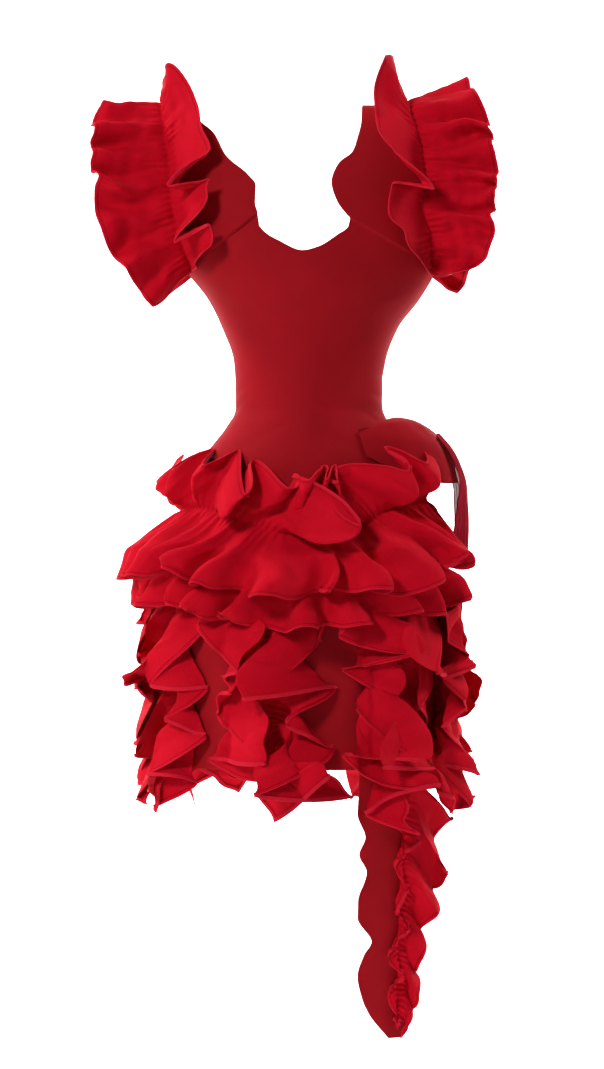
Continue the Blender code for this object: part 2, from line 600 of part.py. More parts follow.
TIER_SAG, TOP_SAG = 0.45, 0.4
FRONT_END, LEFT_END = 69, -98
BACK_START, BACK_END = 121, 260
BACK_TIER_FOLDS = 9
FRONT_TIER_COLUMNS, BACK_TIER_COLUMNS = 56, 46


def low_wings(table):
    """The lower tier's wing, and the narrow edge above its gather line that a tier above hides."""
    heading = [(at, HEADING_LIFT, 0, 0) for at, *_ in table]
    return [(table, -1, TIER_WING, TIER_SAG, WING_ROWS), (heading, 1, HEADING, 0, 1)]


def back_folds(lift, number):
    """Uneven folds like those of the front, for the side the front view hides."""
    rows = []
    for fold in range(BACK_TIER_FOLDS):
        swing = math.sin(2.1 * fold + number)
        at = BACK_START + (BACK_END - BACK_START) * (fold + 0.5 + 0.18 * swing) / BACK_TIER_FOLDS
        rows.append((at, lift * (1 + 0.25 * math.cos(1.3 * fold + number)), 0, 0.8 * math.sin(fold + number)))
    return rows


def back_line(height, dip):
    return ((BACK_START - 2, BACK_START - 2, height + 0.006), (185, 185, height - dip),
            (BACK_END + 4, BACK_END + 4, height))


def tiers():
    front, back = (LEFT_END, FRONT_END, FRONT_TIER_COLUMNS), (BACK_START, BACK_END, BACK_TIER_COLUMNS)
    hip_ruffle("hip_ruffle_lower_front", LOWER_LINE, *front, low_wings(LOWER_FOLDS), 600)
    hip_ruffle("hip_ruffle_lower_back", back_line(-0.582, 0.012), *back, low_wings(back_folds(34, 0.4)), 650)
    uppers = (("front", UPPER_LINE, front, UPPER_LOW_FOLDS, UPPER_TOP_FOLDS, 700),
              ("back", back_line(-0.540, 0.010), back, back_folds(34, 1.1), back_folds(38, 2.6), 750))
    for side, line, ends, low, top, seed in uppers:
        wings = [(low, -1, TIER_WING, TIER_SAG, WING_ROWS), (top, 1, TIER_WING, TOP_SAG, WING_ROWS)]
        hip_ruffle("hip_ruffle_upper_" + side, line, *ends, wings, seed)


# Shoulder ruffles: a strip gathered along the armhole edge of each strap, over the shoulder.
# Its outer wing stands out sideways, its inner wing leans over the strap and turns up in leaves.
# Folds: place along the line (0 front armhole, 0.5 shoulder, 1 back armhole), lift, turn, lean
SHOULDER_COLUMNS, SHOULDER_INSET, SHOULDER_LONG = 42, 0.006, 0.46
OUTER_FOLDS = (
    (0.030, 10, 0, 0.3), (0.130, 18, 0, 0.3), (0.235, 16, 0, 0.4), (0.330, 20, 0, 0.2),
    (0.430, 18, 0, 0.0), (0.540, 22, 0, 0.2), (0.650, 18, 0, 0.0), (0.760, 20, 0, -0.2),
    (0.870, 18, 0, 0.1), (0.970, 10, 0, 0))
INNER_FOLDS = (
    (0.030, 4, 0, 0), (0.160, 7, 0, 0), (0.300, 6, 0, 0), (0.440, 8, 0, 0), (0.570, 7, 0, 0),
    (0.700, 7, 0, 0), (0.830, 7, 0, 0), (0.960, 4, 0, 0))
OUTER_SAG, OUTER_CURL, STRAP_AIR, LEAF_AIR = 0.30, 0.06, 0.003, 0.05
# Outer wings: place along the line, turn in the frontal plane (degrees), width
LEFT_OUTER = (
    (0.00, -42, 0.071), (0.06, -40, 0.080), (0.13, -24, 0.092), (0.20, -12, 0.104), (0.27, -4, 0.106),
    (0.34, -4, 0.100), (0.40, -9, 0.100), (0.47, -11, 0.086), (0.50, -13, 0.080), (0.60, -12, 0.090),
    (0.80, -16, 0.092), (1.00, -46, 0.070))
RIGHT_OUTER = (
    (0.00, -34, 0.034), (0.03, -22, 0.056), (0.07, -10, 0.076), (0.13, 4, 0.088), (0.20, 0, 0.098),
    (0.30, 0, 0.098), (0.40, -2, 0.098), (0.46, 3, 0.094), (0.50, 10, 0.090), (0.60, -2, 0.092),
    (0.80, -12, 0.090), (1.00, -50, 0.060))
# Inner wings: place, turn up at the stitches, turn at the free edge, drawn up (degrees), width
LEFT_INNER = (
    (0.000, 60, 96, 0, 0.034), (0.045, 26, 20, 4, 0.042), (0.085, 24, 24, 12, 0.046),
    (0.118, 40, 135, -24, 0.056), (0.160, 22, 20, 14, 0.050), (0.215, 20, 18, 8, 0.054),
    (0.256, 36, 145, -22, 0.062), (0.300, 20, 22, 18, 0.060), (0.370, 24, 36, 26, 0.064),
    (0.440, 34, 46, 44, 0.060), (0.500, 62, 72, 70, 0.046), (0.570, 32, 44, 46, 0.056),
    (0.650, 40, 120, 6, 0.058), (0.740, 24, 24, 0, 0.058), (0.830, 48, 130, 0, 0.058),
    (0.920, 24, 26, 0, 0.054), (1.000, 60, 90, 0, 0.036))
RIGHT_INNER = (
    (0.000, 80, 120, -20, 0.034), (0.040, 56, 90, -14, 0.044), (0.110, 34, 40, -8, 0.050),
    (0.165, 24, 22, 0, 0.052), (0.205, 24, 26, 12, 0.052), (0.243, 50, 145, -16, 0.058),
    (0.290, 26, 40, 10, 0.060), (0.350, 22, 20, 14, 0.068), (0.410, 22, 22, 26, 0.072),
    (0.455, 30, 32, 50, 0.072), (0.500, 40, 50, 64, 0.066), (0.570, 32, 40, 44, 0.062),
    (0.650, 44, 130, 6, 0.058), (0.740, 24, 24, 0, 0.058), (0.830, 48, 120, 0, 0.058),
    (0.920, 24, 26, 0, 0.054), (1.000, 60, 90, 0, 0.036))


def shoulder_line(front, back):
    """Outer strap edge from the front armhole over the shoulder to the back: x, height, face, place."""
    front, back = np.array(front), np.array(back)[::-1]
    inset = np.sign(front[0, 2]) * SHOULDER_INSET
    path = [on_shoulder(row[2] - inset, row[3], -1) for row in front]
    path += [on_shoulder(row[2] - inset, row[3], 1) for row in back]
    path = np.array(path)
    step = np.linalg.norm(np.diff(path, axis=0), axis=1)
    return path, np.concatenate([[0], np.cumsum(step)]) / step.sum()


def off_strap(spot, at, rise, least):
    """Moves points out along rise until they are at least this far off the strap below them."""
    moved = spot.copy()
    for face, half in ((-1, at < 0.5), (1, at >= 0.5)):
        under = on_shoulder(spot[..., 0], np.minimum(spot[..., 2], -0.004), face)
        short = least - (spot[..., 1] - under[..., 1]) * face
        moved[..., half, 1] += (face * np.maximum(short, 0) * np.abs(rise[:, 1]))[..., half]
    return moved


def shoulder_ruffle(name, side, front, back, outer, inner, seed):
    path, place = shoulder_line(front, back)
    keep = np.concatenate([[True], np.diff(place) > 0.004])
    path, place = path[keep], place[keep]
    at = np.linspace(0.0, 1.0, SHOULDER_COLUMNS + 1)
    line = np.stack([smooth(at, place, path[:, axis]) for axis in range(3)], axis=-1)
    swing = np.radians(np.interp(at, (0.0, 0.36, 0.5, 0.64, 1.0), (90, 75, 0, -75, -90)))
    rise = np.stack([np.zeros_like(at), -np.sin(swing), np.cos(swing)], axis=-1)
    line = line + rise * ON_STRAP
    along = np.gradient(line, axis=0)
    along = along / np.linalg.norm(along, axis=1, keepdims=True)
    up, out = np.array([0.0, 0.0, 1.0]), np.array([side, 0.0, 0.0])
    outer, inner = np.array(outer), np.array(inner)
    turn, width = [smooth(at, outer[:, 0], outer[:, k]) for k in (1, 2)]
    form = wing_form(at * SHOULDER_LONG, at, OUTER_FOLDS, width, seed + 10)
    aside, forward, bend = [part[..., None] for part in form]
    turn = np.radians(turn)[:, None]
    stands = line + (out * np.cos(turn) + up * np.sin(turn)) * aside + rise * (bend + OUTER_CURL * aside)
    stands = stands - up * bend * OUTER_SAG + along * forward
    first, last, drawn, width = [smooth(at, inner[:, 0], inner[:, k]) for k in (1, 2, 3, 4)]
    aside, forward, bend = wing_form(at * SHOULDER_LONG, at, INNER_FOLDS, width, seed)
    t = np.linspace(0, 1, len(aside))[:, None]
    turn, drawn = np.radians(first + (last - first) * t)[..., None], np.radians(drawn)[:, None]
    way = np.cos(drawn) * (rise * np.sin(turn) - out * np.cos(turn)) + np.sin(drawn) * up
    steps = np.diff(aside, axis=0, prepend=0)[..., None] * way / np.linalg.norm(way, axis=2, keepdims=True)
    leans = line + np.cumsum(steps, axis=0) + along * forward[..., None]
    leans = leans + (rise * np.cos(turn) + out * np.sin(turn)) * bend[..., None]
    leans = off_strap(leans, at, rise, STRAP_AIR + LEAF_AIR * t)
    grid_wall(name, "poplin", np.vstack([stands[:0:-1], line[None], leans[1:]]), (0, 0, 1))


def main():
    for leftover in list(bpy.data.objects):
        bpy.data.objects.remove(leftover, do_unlink=True)
    bodice_front()
    bodice_back("bodice_back_left", -1, LEFT_BACK_STRAP)
    bodice_back("bodice_back_right", 1, RIGHT_BACK_STRAP)
    skirt_panel("skirt_front", -90, 90, (0, -1, 0))
    skirt_panel("skirt_back", 90, 270, (0, 1, 0))
    tail()
    for number, name in enumerate(STRIP_LINES):
        front_strip(name, number)
    for number, (name, degrees) in enumerate(BACK_STRIPS.items()):
        back_strip(name, degrees, number)
    hip_drape()
    tiers()
    net_drape()
    shoulder_ruffle("shoulder_ruffle_left", -1, LEFT_FRONT_STRAP, LEFT_BACK_STRAP, LEFT_OUTER,
                    LEFT_INNER, 800)
    shoulder_ruffle("shoulder_ruffle_right", 1, RIGHT_FRONT_STRAP, RIGHT_BACK_STRAP, RIGHT_OUTER,
                    RIGHT_INNER, 840)


main()
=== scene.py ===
import math

import bpy
import numpy as np
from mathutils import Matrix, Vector


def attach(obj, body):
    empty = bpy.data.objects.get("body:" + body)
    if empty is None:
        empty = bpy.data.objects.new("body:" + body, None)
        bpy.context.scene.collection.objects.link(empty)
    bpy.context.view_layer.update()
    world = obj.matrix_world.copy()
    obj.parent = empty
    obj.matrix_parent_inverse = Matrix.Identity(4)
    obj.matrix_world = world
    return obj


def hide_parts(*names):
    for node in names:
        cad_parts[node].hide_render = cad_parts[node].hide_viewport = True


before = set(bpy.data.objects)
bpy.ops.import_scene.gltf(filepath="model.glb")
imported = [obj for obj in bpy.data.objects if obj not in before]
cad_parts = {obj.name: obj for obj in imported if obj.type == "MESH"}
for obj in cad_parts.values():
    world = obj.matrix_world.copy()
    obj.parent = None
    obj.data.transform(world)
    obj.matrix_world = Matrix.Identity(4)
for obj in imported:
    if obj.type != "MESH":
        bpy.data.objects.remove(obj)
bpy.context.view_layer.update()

# The studio: a pale sweep of paper that is floor and backdrop in one, a long lens level with
# the middle of the dress, one large soft light high on the left, weaker ones for the rest.
FLOOR = -1.36
SWEEP_HALF, SWEEP_FRONT, SWEEP_BACK, SWEEP_TOP, SWEEP_BEND = 6.0, -9.0, 2.6, 4.2, 1.2
PHOTO_TALL = 1069
MM_PER_PIXEL = 1.34
PICTURE_TALL = PHOTO_TALL * MM_PER_PIXEL / 1000
EYE_X, EYE_Z, EYE_AWAY, SENSOR = -0.0054, -0.5755, 6.0, 36.0
# Lights: place, side of the square, watts
LIGHTS = {
    "key": ((-2.6, -3.5, 1.9), 0.9, 148),
    "fill": ((2.8, -3.6, 0.2), 2.6, 5),
    "top": ((0.1, 0.3, 2.2), 1.4, 6),
    "rim": ((1.6, 1.9, 1.0), 1.4, 6),
    "paper_left": ((-2.6, 0.9, 1.6), 2.0, 140),
    "paper_right": ((2.6, 0.9, 1.6), 2.0, 140),
}
LIGHT_AIM = (0, 0, -0.55)
PAPER_AIMS = {"paper_left": (-0.6, 2.4, -0.4), "paper_right": (0.6, 2.4, -0.4)}
SKY_STRENGTH, PAPER_SPREAD = 0.05, math.radians(100)


def linear(code, strength=1.0):
    """An sRGB hex colour as the linear values that a shader takes."""
    parts = [int(code[i:i + 2], 16) / 255 for i in (1, 3, 5)]
    made = [p / 12.92 if p <= 0.04045 else ((p + 0.055) / 1.055) ** 2.4 for p in parts]
    return (*[strength * m for m in made], 1.0)


def feed(node, inputs):
    """Gives each input of a node its value, or a link from the socket that feeds it."""
    for key, value in inputs.items():
        if isinstance(value, bpy.types.NodeSocket):
            node.id_data.links.new(value, node.inputs[key])
        else:
            node.inputs[key].default_value = value


def add(tree, kind, inputs=None, **settings):
    """Adds a node with its settings and what feeds it."""
    made = tree.nodes.new("ShaderNode" + kind)
    for key, value in settings.items():
        setattr(made, key, value)
    feed(made, inputs or {})
    return made


def new_material(name):
    made = bpy.data.materials.new(name)
    made.use_nodes = True
    return made, made.node_tree, made.node_tree.nodes["Principled BSDF"]


def seamless_paper():
    """Matt studio paper: no gloss, a trace of tooth, clear from behind so the back can be seen."""
    made, tree, shader = new_material("seamless_paper")
    tooth = add(tree, "TexNoise", {"Scale": 220.0, "Detail": 2.0})
    bump = add(tree, "Bump", {"Height": tooth.outputs["Fac"], "Strength": 0.05, "Distance": 0.001})
    side = add(tree, "NewGeometry")
    front = add(tree, "Math", {0: 1.0, 1: side.outputs["Backfacing"]}, operation="SUBTRACT")
    feed(shader, {"Base Color": linear("#F7F6F5"), "Roughness": 0.9,
                  "Normal": bump.outputs["Normal"], "Alpha": front.outputs["Value"]})
    return made


def studio():
    bend = [(SWEEP_BACK - SWEEP_BEND * (1 - math.sin(a)), FLOOR + SWEEP_BEND * (1 - math.cos(a)))
            for a in np.linspace(0, math.pi / 2, 24)]
    profile = [(SWEEP_FRONT, FLOOR), *bend, (SWEEP_BACK, SWEEP_TOP)]
    points = [(x, y, z) for y, z in profile for x in (-SWEEP_HALF, SWEEP_HALF)]
    faces = [(2 * i, 2 * i + 1, 2 * i + 3, 2 * i + 2) for i in range(len(profile) - 1)]
    mesh = bpy.data.meshes.new("sweep")
    mesh.from_pydata(points, [], faces)
    mesh.shade_smooth()
    sweep = bpy.data.objects.new("sweep", mesh)
    sweep.data.materials.append(seamless_paper())
    bpy.context.scene.collection.objects.link(sweep)
    for name, (place, side, watts) in LIGHTS.items():
        data = bpy.data.lights.new(name, "AREA")
        data.size, data.energy = side, watts
        if name in PAPER_AIMS:
            data.spread = PAPER_SPREAD
        light = bpy.data.objects.new(name, data)
        light.location = place
        aim = Vector(PAPER_AIMS.get(name, LIGHT_AIM)) - Vector(place)
        light.rotation_euler = aim.to_track_quat("-Z", "Y").to_euler()
        bpy.context.scene.collection.objects.link(light)
    world = bpy.data.worlds.new("studio")
    world.use_nodes = True
    world.node_tree.nodes["Background"].inputs["Color"].default_value = (1.0, 1.0, 1.0, 1.0)
    world.node_tree.nodes["Background"].inputs["Strength"].default_value = SKY_STRENGTH
    bpy.context.scene.world = world
    eye = bpy.data.cameras.new("eye")
    eye.sensor_fit, eye.sensor_height = "VERTICAL", SENSOR
    eye.lens = SENSOR * EYE_AWAY / PICTURE_TALL
    eye.clip_end = 40
    camera = bpy.data.objects.new("eye", eye)
    camera.location = (EYE_X, -EYE_AWAY, EYE_Z)
    camera.rotation_euler = (math.pi / 2, 0, 0)
    bpy.context.scene.collection.objects.link(camera)
    bpy.context.scene.camera = camera
    bpy.context.scene.view_settings.view_transform = "Standard"


studio()

# The bodice: crepe, a front and two back halves with a seam down the centre back, each cut in
# one with its straps and fitted close. Neck and armholes are turned in by a narrow hem.
WALL, GAP = 0.0016, 0.0003
WAIST_HALF, HIP_HALF, HEM_HALF = 0.098, 0.176, 0.168
BUST_FRONT, HIP_DEPTH = 0.116, 0.114
BASQUE, HEM = -0.550, -0.885
# Half a seam, in degrees round the body; half the gap along the top of the shoulder
SEAM_ANGLE, SHOULDER_GAP = 0.25, 0.0004
# Heights between which the oval body passes into the flatter lie of the straps, and how much
# narrower than the body that flat form is
STRAP_FROM, STRAP_FULL, STRAP_NARROW = -0.240, -0.165, 0.016
# Sections of the body shape: height, half width to the left and to the right, depth to
# the front and to the back.
SECTIONS = (
    (-1.300, HEM_HALF, HEM_HALF, HIP_DEPTH, HIP_DEPTH),
    (HEM, HEM_HALF, HEM_HALF, HIP_DEPTH, HIP_DEPTH + 0.004),
    (-0.780, 0.172, 0.172, HIP_DEPTH, HIP_DEPTH + 0.006),
    (-0.660, HIP_HALF, HIP_HALF, HIP_DEPTH, HIP_DEPTH + 0.008),
    (-0.580, 0.171, 0.171, 0.111, HIP_DEPTH + 0.006),
    (-0.520, 0.160, 0.160, 0.106, 0.113),
    (-0.476, 0.140, 0.143, 0.099, 0.100),
    (-0.454, 0.123, 0.130, 0.095, 0.092),
    (-0.430, 0.105, 0.113, 0.091, 0.085),
    (-0.406, WAIST_HALF - 0.004, WAIST_HALF + 0.004, 0.088, 0.079),
    (-0.374, WAIST_HALF - 0.004, WAIST_HALF + 0.004, 0.089, 0.077),
    (-0.343, WAIST_HALF - 0.002, WAIST_HALF + 0.008, 0.092, 0.077),
    (-0.300, 0.111, 0.122, 0.101, 0.080),
    (-0.260, 0.131, 0.152, 0.112, 0.084),
    (-0.225, 0.158, 0.172, BUST_FRONT, 0.086),
    (-0.150, 0.205, 0.195, 0.106, 0.085),
    (-0.100, 0.215, 0.200, 0.088, 0.079),
    (-0.060, 0.218, 0.200, 0.069, 0.065),
    (-0.030, 0.220, 0.200, 0.050, 0.048),
    (-0.012, 0.220, 0.200, 0.032, 0.032),
    (-0.003, 0.220, 0.200, 0.015, 0.015),
    (0.000, 0.220, 0.200, 0.000, 0.000),
)
# Straps: inner edge x and height, outer (armhole) edge x and height
LEFT_FRONT_STRAP = (
    (-0.064, -0.153, -0.157, -0.225), (-0.068, -0.136, -0.170, -0.192),
    (-0.067, -0.115, -0.180, -0.155), (-0.078, -0.099, -0.184, -0.120),
    (-0.106, -0.074, -0.187, -0.085), (-0.123, -0.042, -0.193, -0.048),
    (-0.143, -0.022, -0.197, -0.022), (-0.147, -0.007, -0.199, -0.007),
    (-0.150, 0.000, -0.200, 0.000))
RIGHT_FRONT_STRAP = (
    (0.058, -0.159, 0.171, -0.225), (0.041, -0.135, 0.170, -0.180),
    (0.034, -0.110, 0.160, -0.140), (0.043, -0.085, 0.165, -0.108),
    (0.062, -0.068, 0.163, -0.080), (0.069, -0.048, 0.158, -0.052),
    (0.074, -0.026, 0.150, -0.026), (0.075, -0.007, 0.141, -0.007),
    (0.076, 0.000, 0.138, 0.000))
LEFT_BACK_STRAP = (
    (-0.098, -0.212, -0.157, -0.225), (-0.112, -0.165, -0.172, -0.185),
    (-0.125, -0.110, -0.184, -0.130), (-0.135, -0.060, -0.190, -0.070),
    (-0.143, -0.022, -0.197, -0.022), (-0.147, -0.007, -0.199, -0.007),
    (-0.150, 0.000, -0.200, 0.000))
RIGHT_BACK_STRAP = (
    (0.100, -0.216, 0.171, -0.225), (0.093, -0.170, 0.170, -0.180),
    (0.088, -0.115, 0.164, -0.125), (0.082, -0.060, 0.160, -0.068),
    (0.077, -0.024, 0.150, -0.026), (0.076, -0.007, 0.141, -0.007),
    (0.076, 0.000, 0.138, 0.000))
# Front neckline between the straps, x and height; back neckline, angle and height
NECKLINE = ((-0.062, -0.169), (-0.034, -0.190), (-0.005, -0.202),
            (0.016, -0.197), (0.043, -0.180), (0.056, -0.170))
BACK_SCOOP = ((-180, -0.335), (-165, -0.322), (-152, -0.285), (-142, -0.238))
STRAP_CELLS, STRAP_ROWS, BODICE_ROWS, NECK_COLUMNS, SCOOP_COLUMNS = 30, 90, 150, 60, 46
# A panel's rows crowd a little to its top; its columns are evenly spaced up to this share
ROWS_CROWD, EVEN_UP_TO = 0.9, 0.1
# Narrow hems: radius of the turned edge, depth turned in
EDGE_ROUND, HEM_TURN = 0.0008, 0.0045
CREPE_GRAIN = 0.0011
# Metres of cloth a degree round the bodice; its soft wrinkles: height, distance apart
BODICE_DEGREE, BODICE_SOFT, BODICE_SOFT_PITCH = 0.0018, 0.0003, 0.07
# Radius and depth by which the bodice's grain is laid out round the body
GRAIN_RADIUS, GRAIN_DEPTH = 0.13, 0.02
# Soft drag lines of a fitted bodice: angle, height, slant in degrees, length, width, depth
BODICE_CREASES = (
    (-70, -0.385, 12, 0.060, 0.005, -0.0011), (-78, -0.410, 22, 0.075, 0.006, -0.0013),
    (-62, -0.352, 4, 0.050, 0.004, -0.0008), (72, -0.392, -10, 0.066, 0.006, -0.0012),
    (80, -0.365, -3, 0.055, 0.004, -0.0009), (60, -0.425, -24, 0.070, 0.006, -0.0010),
    (-24, -0.440, 34, 0.080, 0.008, -0.0009), (20, -0.452, -30, 0.075, 0.008, -0.0009),
    (-50, -0.255, -32, 0.070, 0.009, 0.0010), (54, -0.262, 30, 0.065, 0.009, 0.0010),
    (-8, -0.500, 78, 0.050, 0.007, -0.0008), (40, -0.500, -60, 0.045, 0.006, -0.0009),
    (118, -0.390, 8, 0.070, 0.006, -0.0012), (-112, -0.398, -8, 0.072, 0.006, -0.0012),
    (150, -0.420, -20, 0.075, 0.007, -0.0012), (-152, -0.412, 22, 0.070, 0.007, -0.0012),
    (165, -0.370, 4, 0.060, 0.005, -0.0010), (-168, -0.366, -6, 0.055, 0.005, -0.0010))


def smooth(at, knots, values):
    """The value at each place on a smooth curve through a short table."""
    knots, values = np.asarray(knots, float), np.asarray(values, float)
    if knots[0] > knots[-1]:
        knots, values = knots[::-1], values[::-1]
    step = np.diff(knots)
    slope = np.diff(values) / step
    tangent = np.empty(len(knots))
    tangent[1:-1] = np.where(slope[1:] * slope[:-1] > 0,
                             2 * slope[1:] * slope[:-1] / (slope[1:] + slope[:-1] + 1e-12), 0)
    tangent[0], tangent[-1] = slope[0], slope[-1]
    at = np.clip(np.asarray(at, float), knots[0], knots[-1])
    cell = np.clip(np.searchsorted(knots, at, side="right") - 1, 0, len(step) - 1)
    t = (at - knots[cell]) / step[cell]
    return ((1 + 2 * t) * (1 - t) ** 2 * values[cell] + t * (1 - t) ** 2 * step[cell] * tangent[cell]
            + t * t * (3 - 2 * t) * values[cell + 1] + t * t * (t - 1) * step[cell] * tangent[cell + 1])


def ease(low, high, value):
    """0 below low, 1 above high, and smooth between them."""
    t = np.clip((np.asarray(value, float) - low) / (high - low), 0, 1)
    return t * t * (3 - 2 * t)


def columns_at(at, table):
    """A table's further columns, each read on a smooth curve at places in its first column."""
    table = np.array(table, float)
    return [smooth(at, table[:, 0], column) for column in table.T[1:]]


def numbered(table):
    """The table with the number of each row put before it."""
    return np.column_stack([np.arange(len(table)), table])


def section(z):
    """Half widths to the left and right and depths to the front and back at a height."""
    return columns_at(z, SECTIONS)


def on_body(degrees, z, off):
    """The point at an angle round the body (0 front, + to +X), a height, and a distance off it."""
    degrees, z, off = np.broadcast_arrays(degrees, z, off)
    left, right, front, back = section(z)
    angle = np.radians(degrees)
    half = np.where(np.sin(angle) < 0, left, right) + off
    depth = np.where(np.cos(angle) > 0, front, back) + off
    return np.stack([half * np.sin(angle), -depth * np.cos(angle), z], axis=-1)


def angle_at(x, z):
    """The angle at which the body has this x at this height, on its front."""
    left, right, _, _ = section(z)
    return np.degrees(np.arcsin(np.clip(x / np.where(x < 0, left, right), -1, 1)))


def on_shoulder(x, z, face):
    """The point of the shoulder strap surface at x and height z; face is -1 front, +1 back."""
    left, right, front, back = section(z)
    half = np.where(x < 0, left, right)
    depth = front if face < 0 else back
    oval = np.sqrt(np.clip(1 - (x / half) ** 2, 0, 1))
    flat = 1 / (1 + (x / (half - STRAP_NARROW)) ** 4)
    mix = ease(STRAP_FROM, STRAP_FULL, z)
    return np.stack([x, face * (depth * (oval * (1 - mix) + flat * mix) + SHOULDER_GAP), z], axis=-1)


def ripple(u, v, size, seed):
    """Uneven soft wrinkles, from about -1 to 1; size is the usual distance between them."""
    total = 0.0
    for turn, start, stretch in np.random.default_rng(seed).random((6, 3)):
        k = 2 * math.pi / (size * (0.7 + 0.9 * stretch))
        way = 2 * math.pi * turn
        total = total + np.sin(k * (u * math.cos(way) + v * math.sin(way)) + 2 * math.pi * start)
    return total / 3


def creased(u, v, table):
    """Height that the listed creases give: rows of u, v, slant, length, width, depth."""
    height = np.zeros(np.broadcast(u, v).shape)
    for at_u, at_v, slant, length, width, depth in table:
        way = math.radians(slant)
        along = (u - at_u) * math.cos(way) + (v - at_v) * math.sin(way)
        aside = (v - at_v) * math.cos(way) - (u - at_u) * math.sin(way)
        height += depth * np.exp(-(2 * along / length) ** 2 - (aside / width) ** 2)
    return height


def normals(points, quads):
    total = np.zeros_like(points)
    corners = points[quads]
    across = np.cross(corners[:, 2] - corners[:, 0], corners[:, 3] - corners[:, 1])
    for corner in range(4):
        np.add.at(total, quads[:, corner], across)
    return total / np.maximum(np.linalg.norm(total, axis=1, keepdims=True), 1e-12)


def turned_edges(points, quads, cloth, free):
    """Adds a narrow hem, rolled over and turned to the inner side, along the free border.

    cloth holds each point's place on the flat cut; free says which points lie on a free edge.
    Returns points, quads, cloth places and how many points the hem has added.
    """
    count = len(points)
    pairs = np.concatenate([quads[:, [k, (k + 1) % 4]] for k in range(4)])
    key, back = pairs[:, 0] * count + pairs[:, 1], pairs[:, 1] * count + pairs[:, 0]
    border = pairs[~np.isin(key, back)]
    border = border[free[border].all(axis=1)]
    normal = normals(points, quads)
    out = np.zeros_like(points)
    along = points[border[:, 1]] - points[border[:, 0]]
    for end in (0, 1):
        np.add.at(out, border[:, end], np.cross(along, normal[border[:, end]]))
    used = np.unique(border)
    out = out[used] / np.maximum(np.linalg.norm(out[used], axis=1, keepdims=True), 1e-12)
    down, start = normal[used], points[used]
    rings, turns = [], np.linspace(0, math.pi, 5)[1:]
    for turn in turns:
        rings.append(start + out * EDGE_ROUND * math.sin(turn)
                     - down * EDGE_ROUND * (1 - math.cos(turn)))
    for reach in (0.5, 1.0):
        rings.append(start - out * HEM_TURN * reach - down * 2 * EDGE_ROUND)
    place = np.full(count, -1)
    place[used] = np.arange(len(used))
    new_quads, last = [quads], border
    for ring in range(len(rings)):
        here = count + ring * len(used) + place[border]
        new_quads.append(np.stack([last[:, 1], last[:, 0], here[:, 0], here[:, 1]], axis=-1))
        last = here
    return (np.concatenate([points, *rings]), np.concatenate(new_quads),
            np.concatenate([cloth] + [cloth[used]] * len(rings)), len(rings) * len(used))


def cloth_piece(node, material, points, quads, cloth, edge, free):
    """Makes the shell of a cut piece, with its narrow hems, and puts it in its node's place."""
    name = node + "_cloth"
    points, quads, cloth, added = turned_edges(points, quads, cloth, free)
    edge = np.concatenate([edge, np.zeros(added)])
    mesh = bpy.data.meshes.new(name)
    mesh.from_pydata(points.tolist(), [], quads.tolist())
    layer = mesh.uv_layers.new(name="cut")
    layer.data.foreach_set("uv", cloth[np.array([loop.vertex_index for loop in mesh.loops])].ravel())
    mesh.attributes.new("edge", "FLOAT", "POINT").data.foreach_set("value", edge)
    mesh.shade_smooth()
    mesh.materials.append(material)
    made = bpy.data.objects.new(name, mesh)
    bpy.context.scene.collection.objects.link(made)
    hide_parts(node)
    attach(made, "root")


def cells_of(index):
    """The four-cornered cells of a grid of point numbers."""
    return np.stack([index[:-1, :-1], index[:-1, 1:], index[1:, 1:], index[1:, :-1]],
                    axis=-1).reshape(-1, 4)


# The free edges that a piece on a grid can have
ALL_SIDES = ("top", "bottom", "first", "last")


def steps(grid):
    """Lengths from the first row down each column and from the first column along each row."""
    down = np.linalg.norm(np.diff(grid, axis=0), axis=2)
    along = np.linalg.norm(np.diff(grid, axis=1), axis=2)
    return (np.vstack([np.zeros(grid.shape[1]), np.cumsum(down, axis=0)]),
            np.hstack([np.zeros((grid.shape[0], 1)), np.cumsum(along, axis=1)]))


def grid_piece(node, material, grid, facing, free_sides=ALL_SIDES):
    """A piece on a grid of points. free_sides names its free edges."""
    rows, columns = grid.shape[:2]
    down, along = steps(grid)
    sides = {"top": (np.s_[0], down), "bottom": (np.s_[-1], down[-1] - down),
             "first": (np.s_[:, 0], along), "last": (np.s_[:, -1], along[:, -1:] - along)}
    free = np.zeros((rows, columns), bool)
    edge = np.full((rows, columns), 1.0)
    for side in free_sides:
        cut, gap = sides[side]
        free[cut] = True
        edge = np.minimum(edge, gap)
    points, quads = grid.reshape(-1, 3), cells_of(np.arange(rows * columns).reshape(rows, columns))
    if (normals(points, quads) @ np.asarray(facing, float)).sum() < 0:
        quads = quads[:, ::-1]
    cloth = np.stack([np.broadcast_to(along[rows // 2], (rows, columns)), down], axis=-1)
    cloth_piece(node, material, points, quads, cloth.reshape(-1, 2), edge.ravel(), free.ravel())


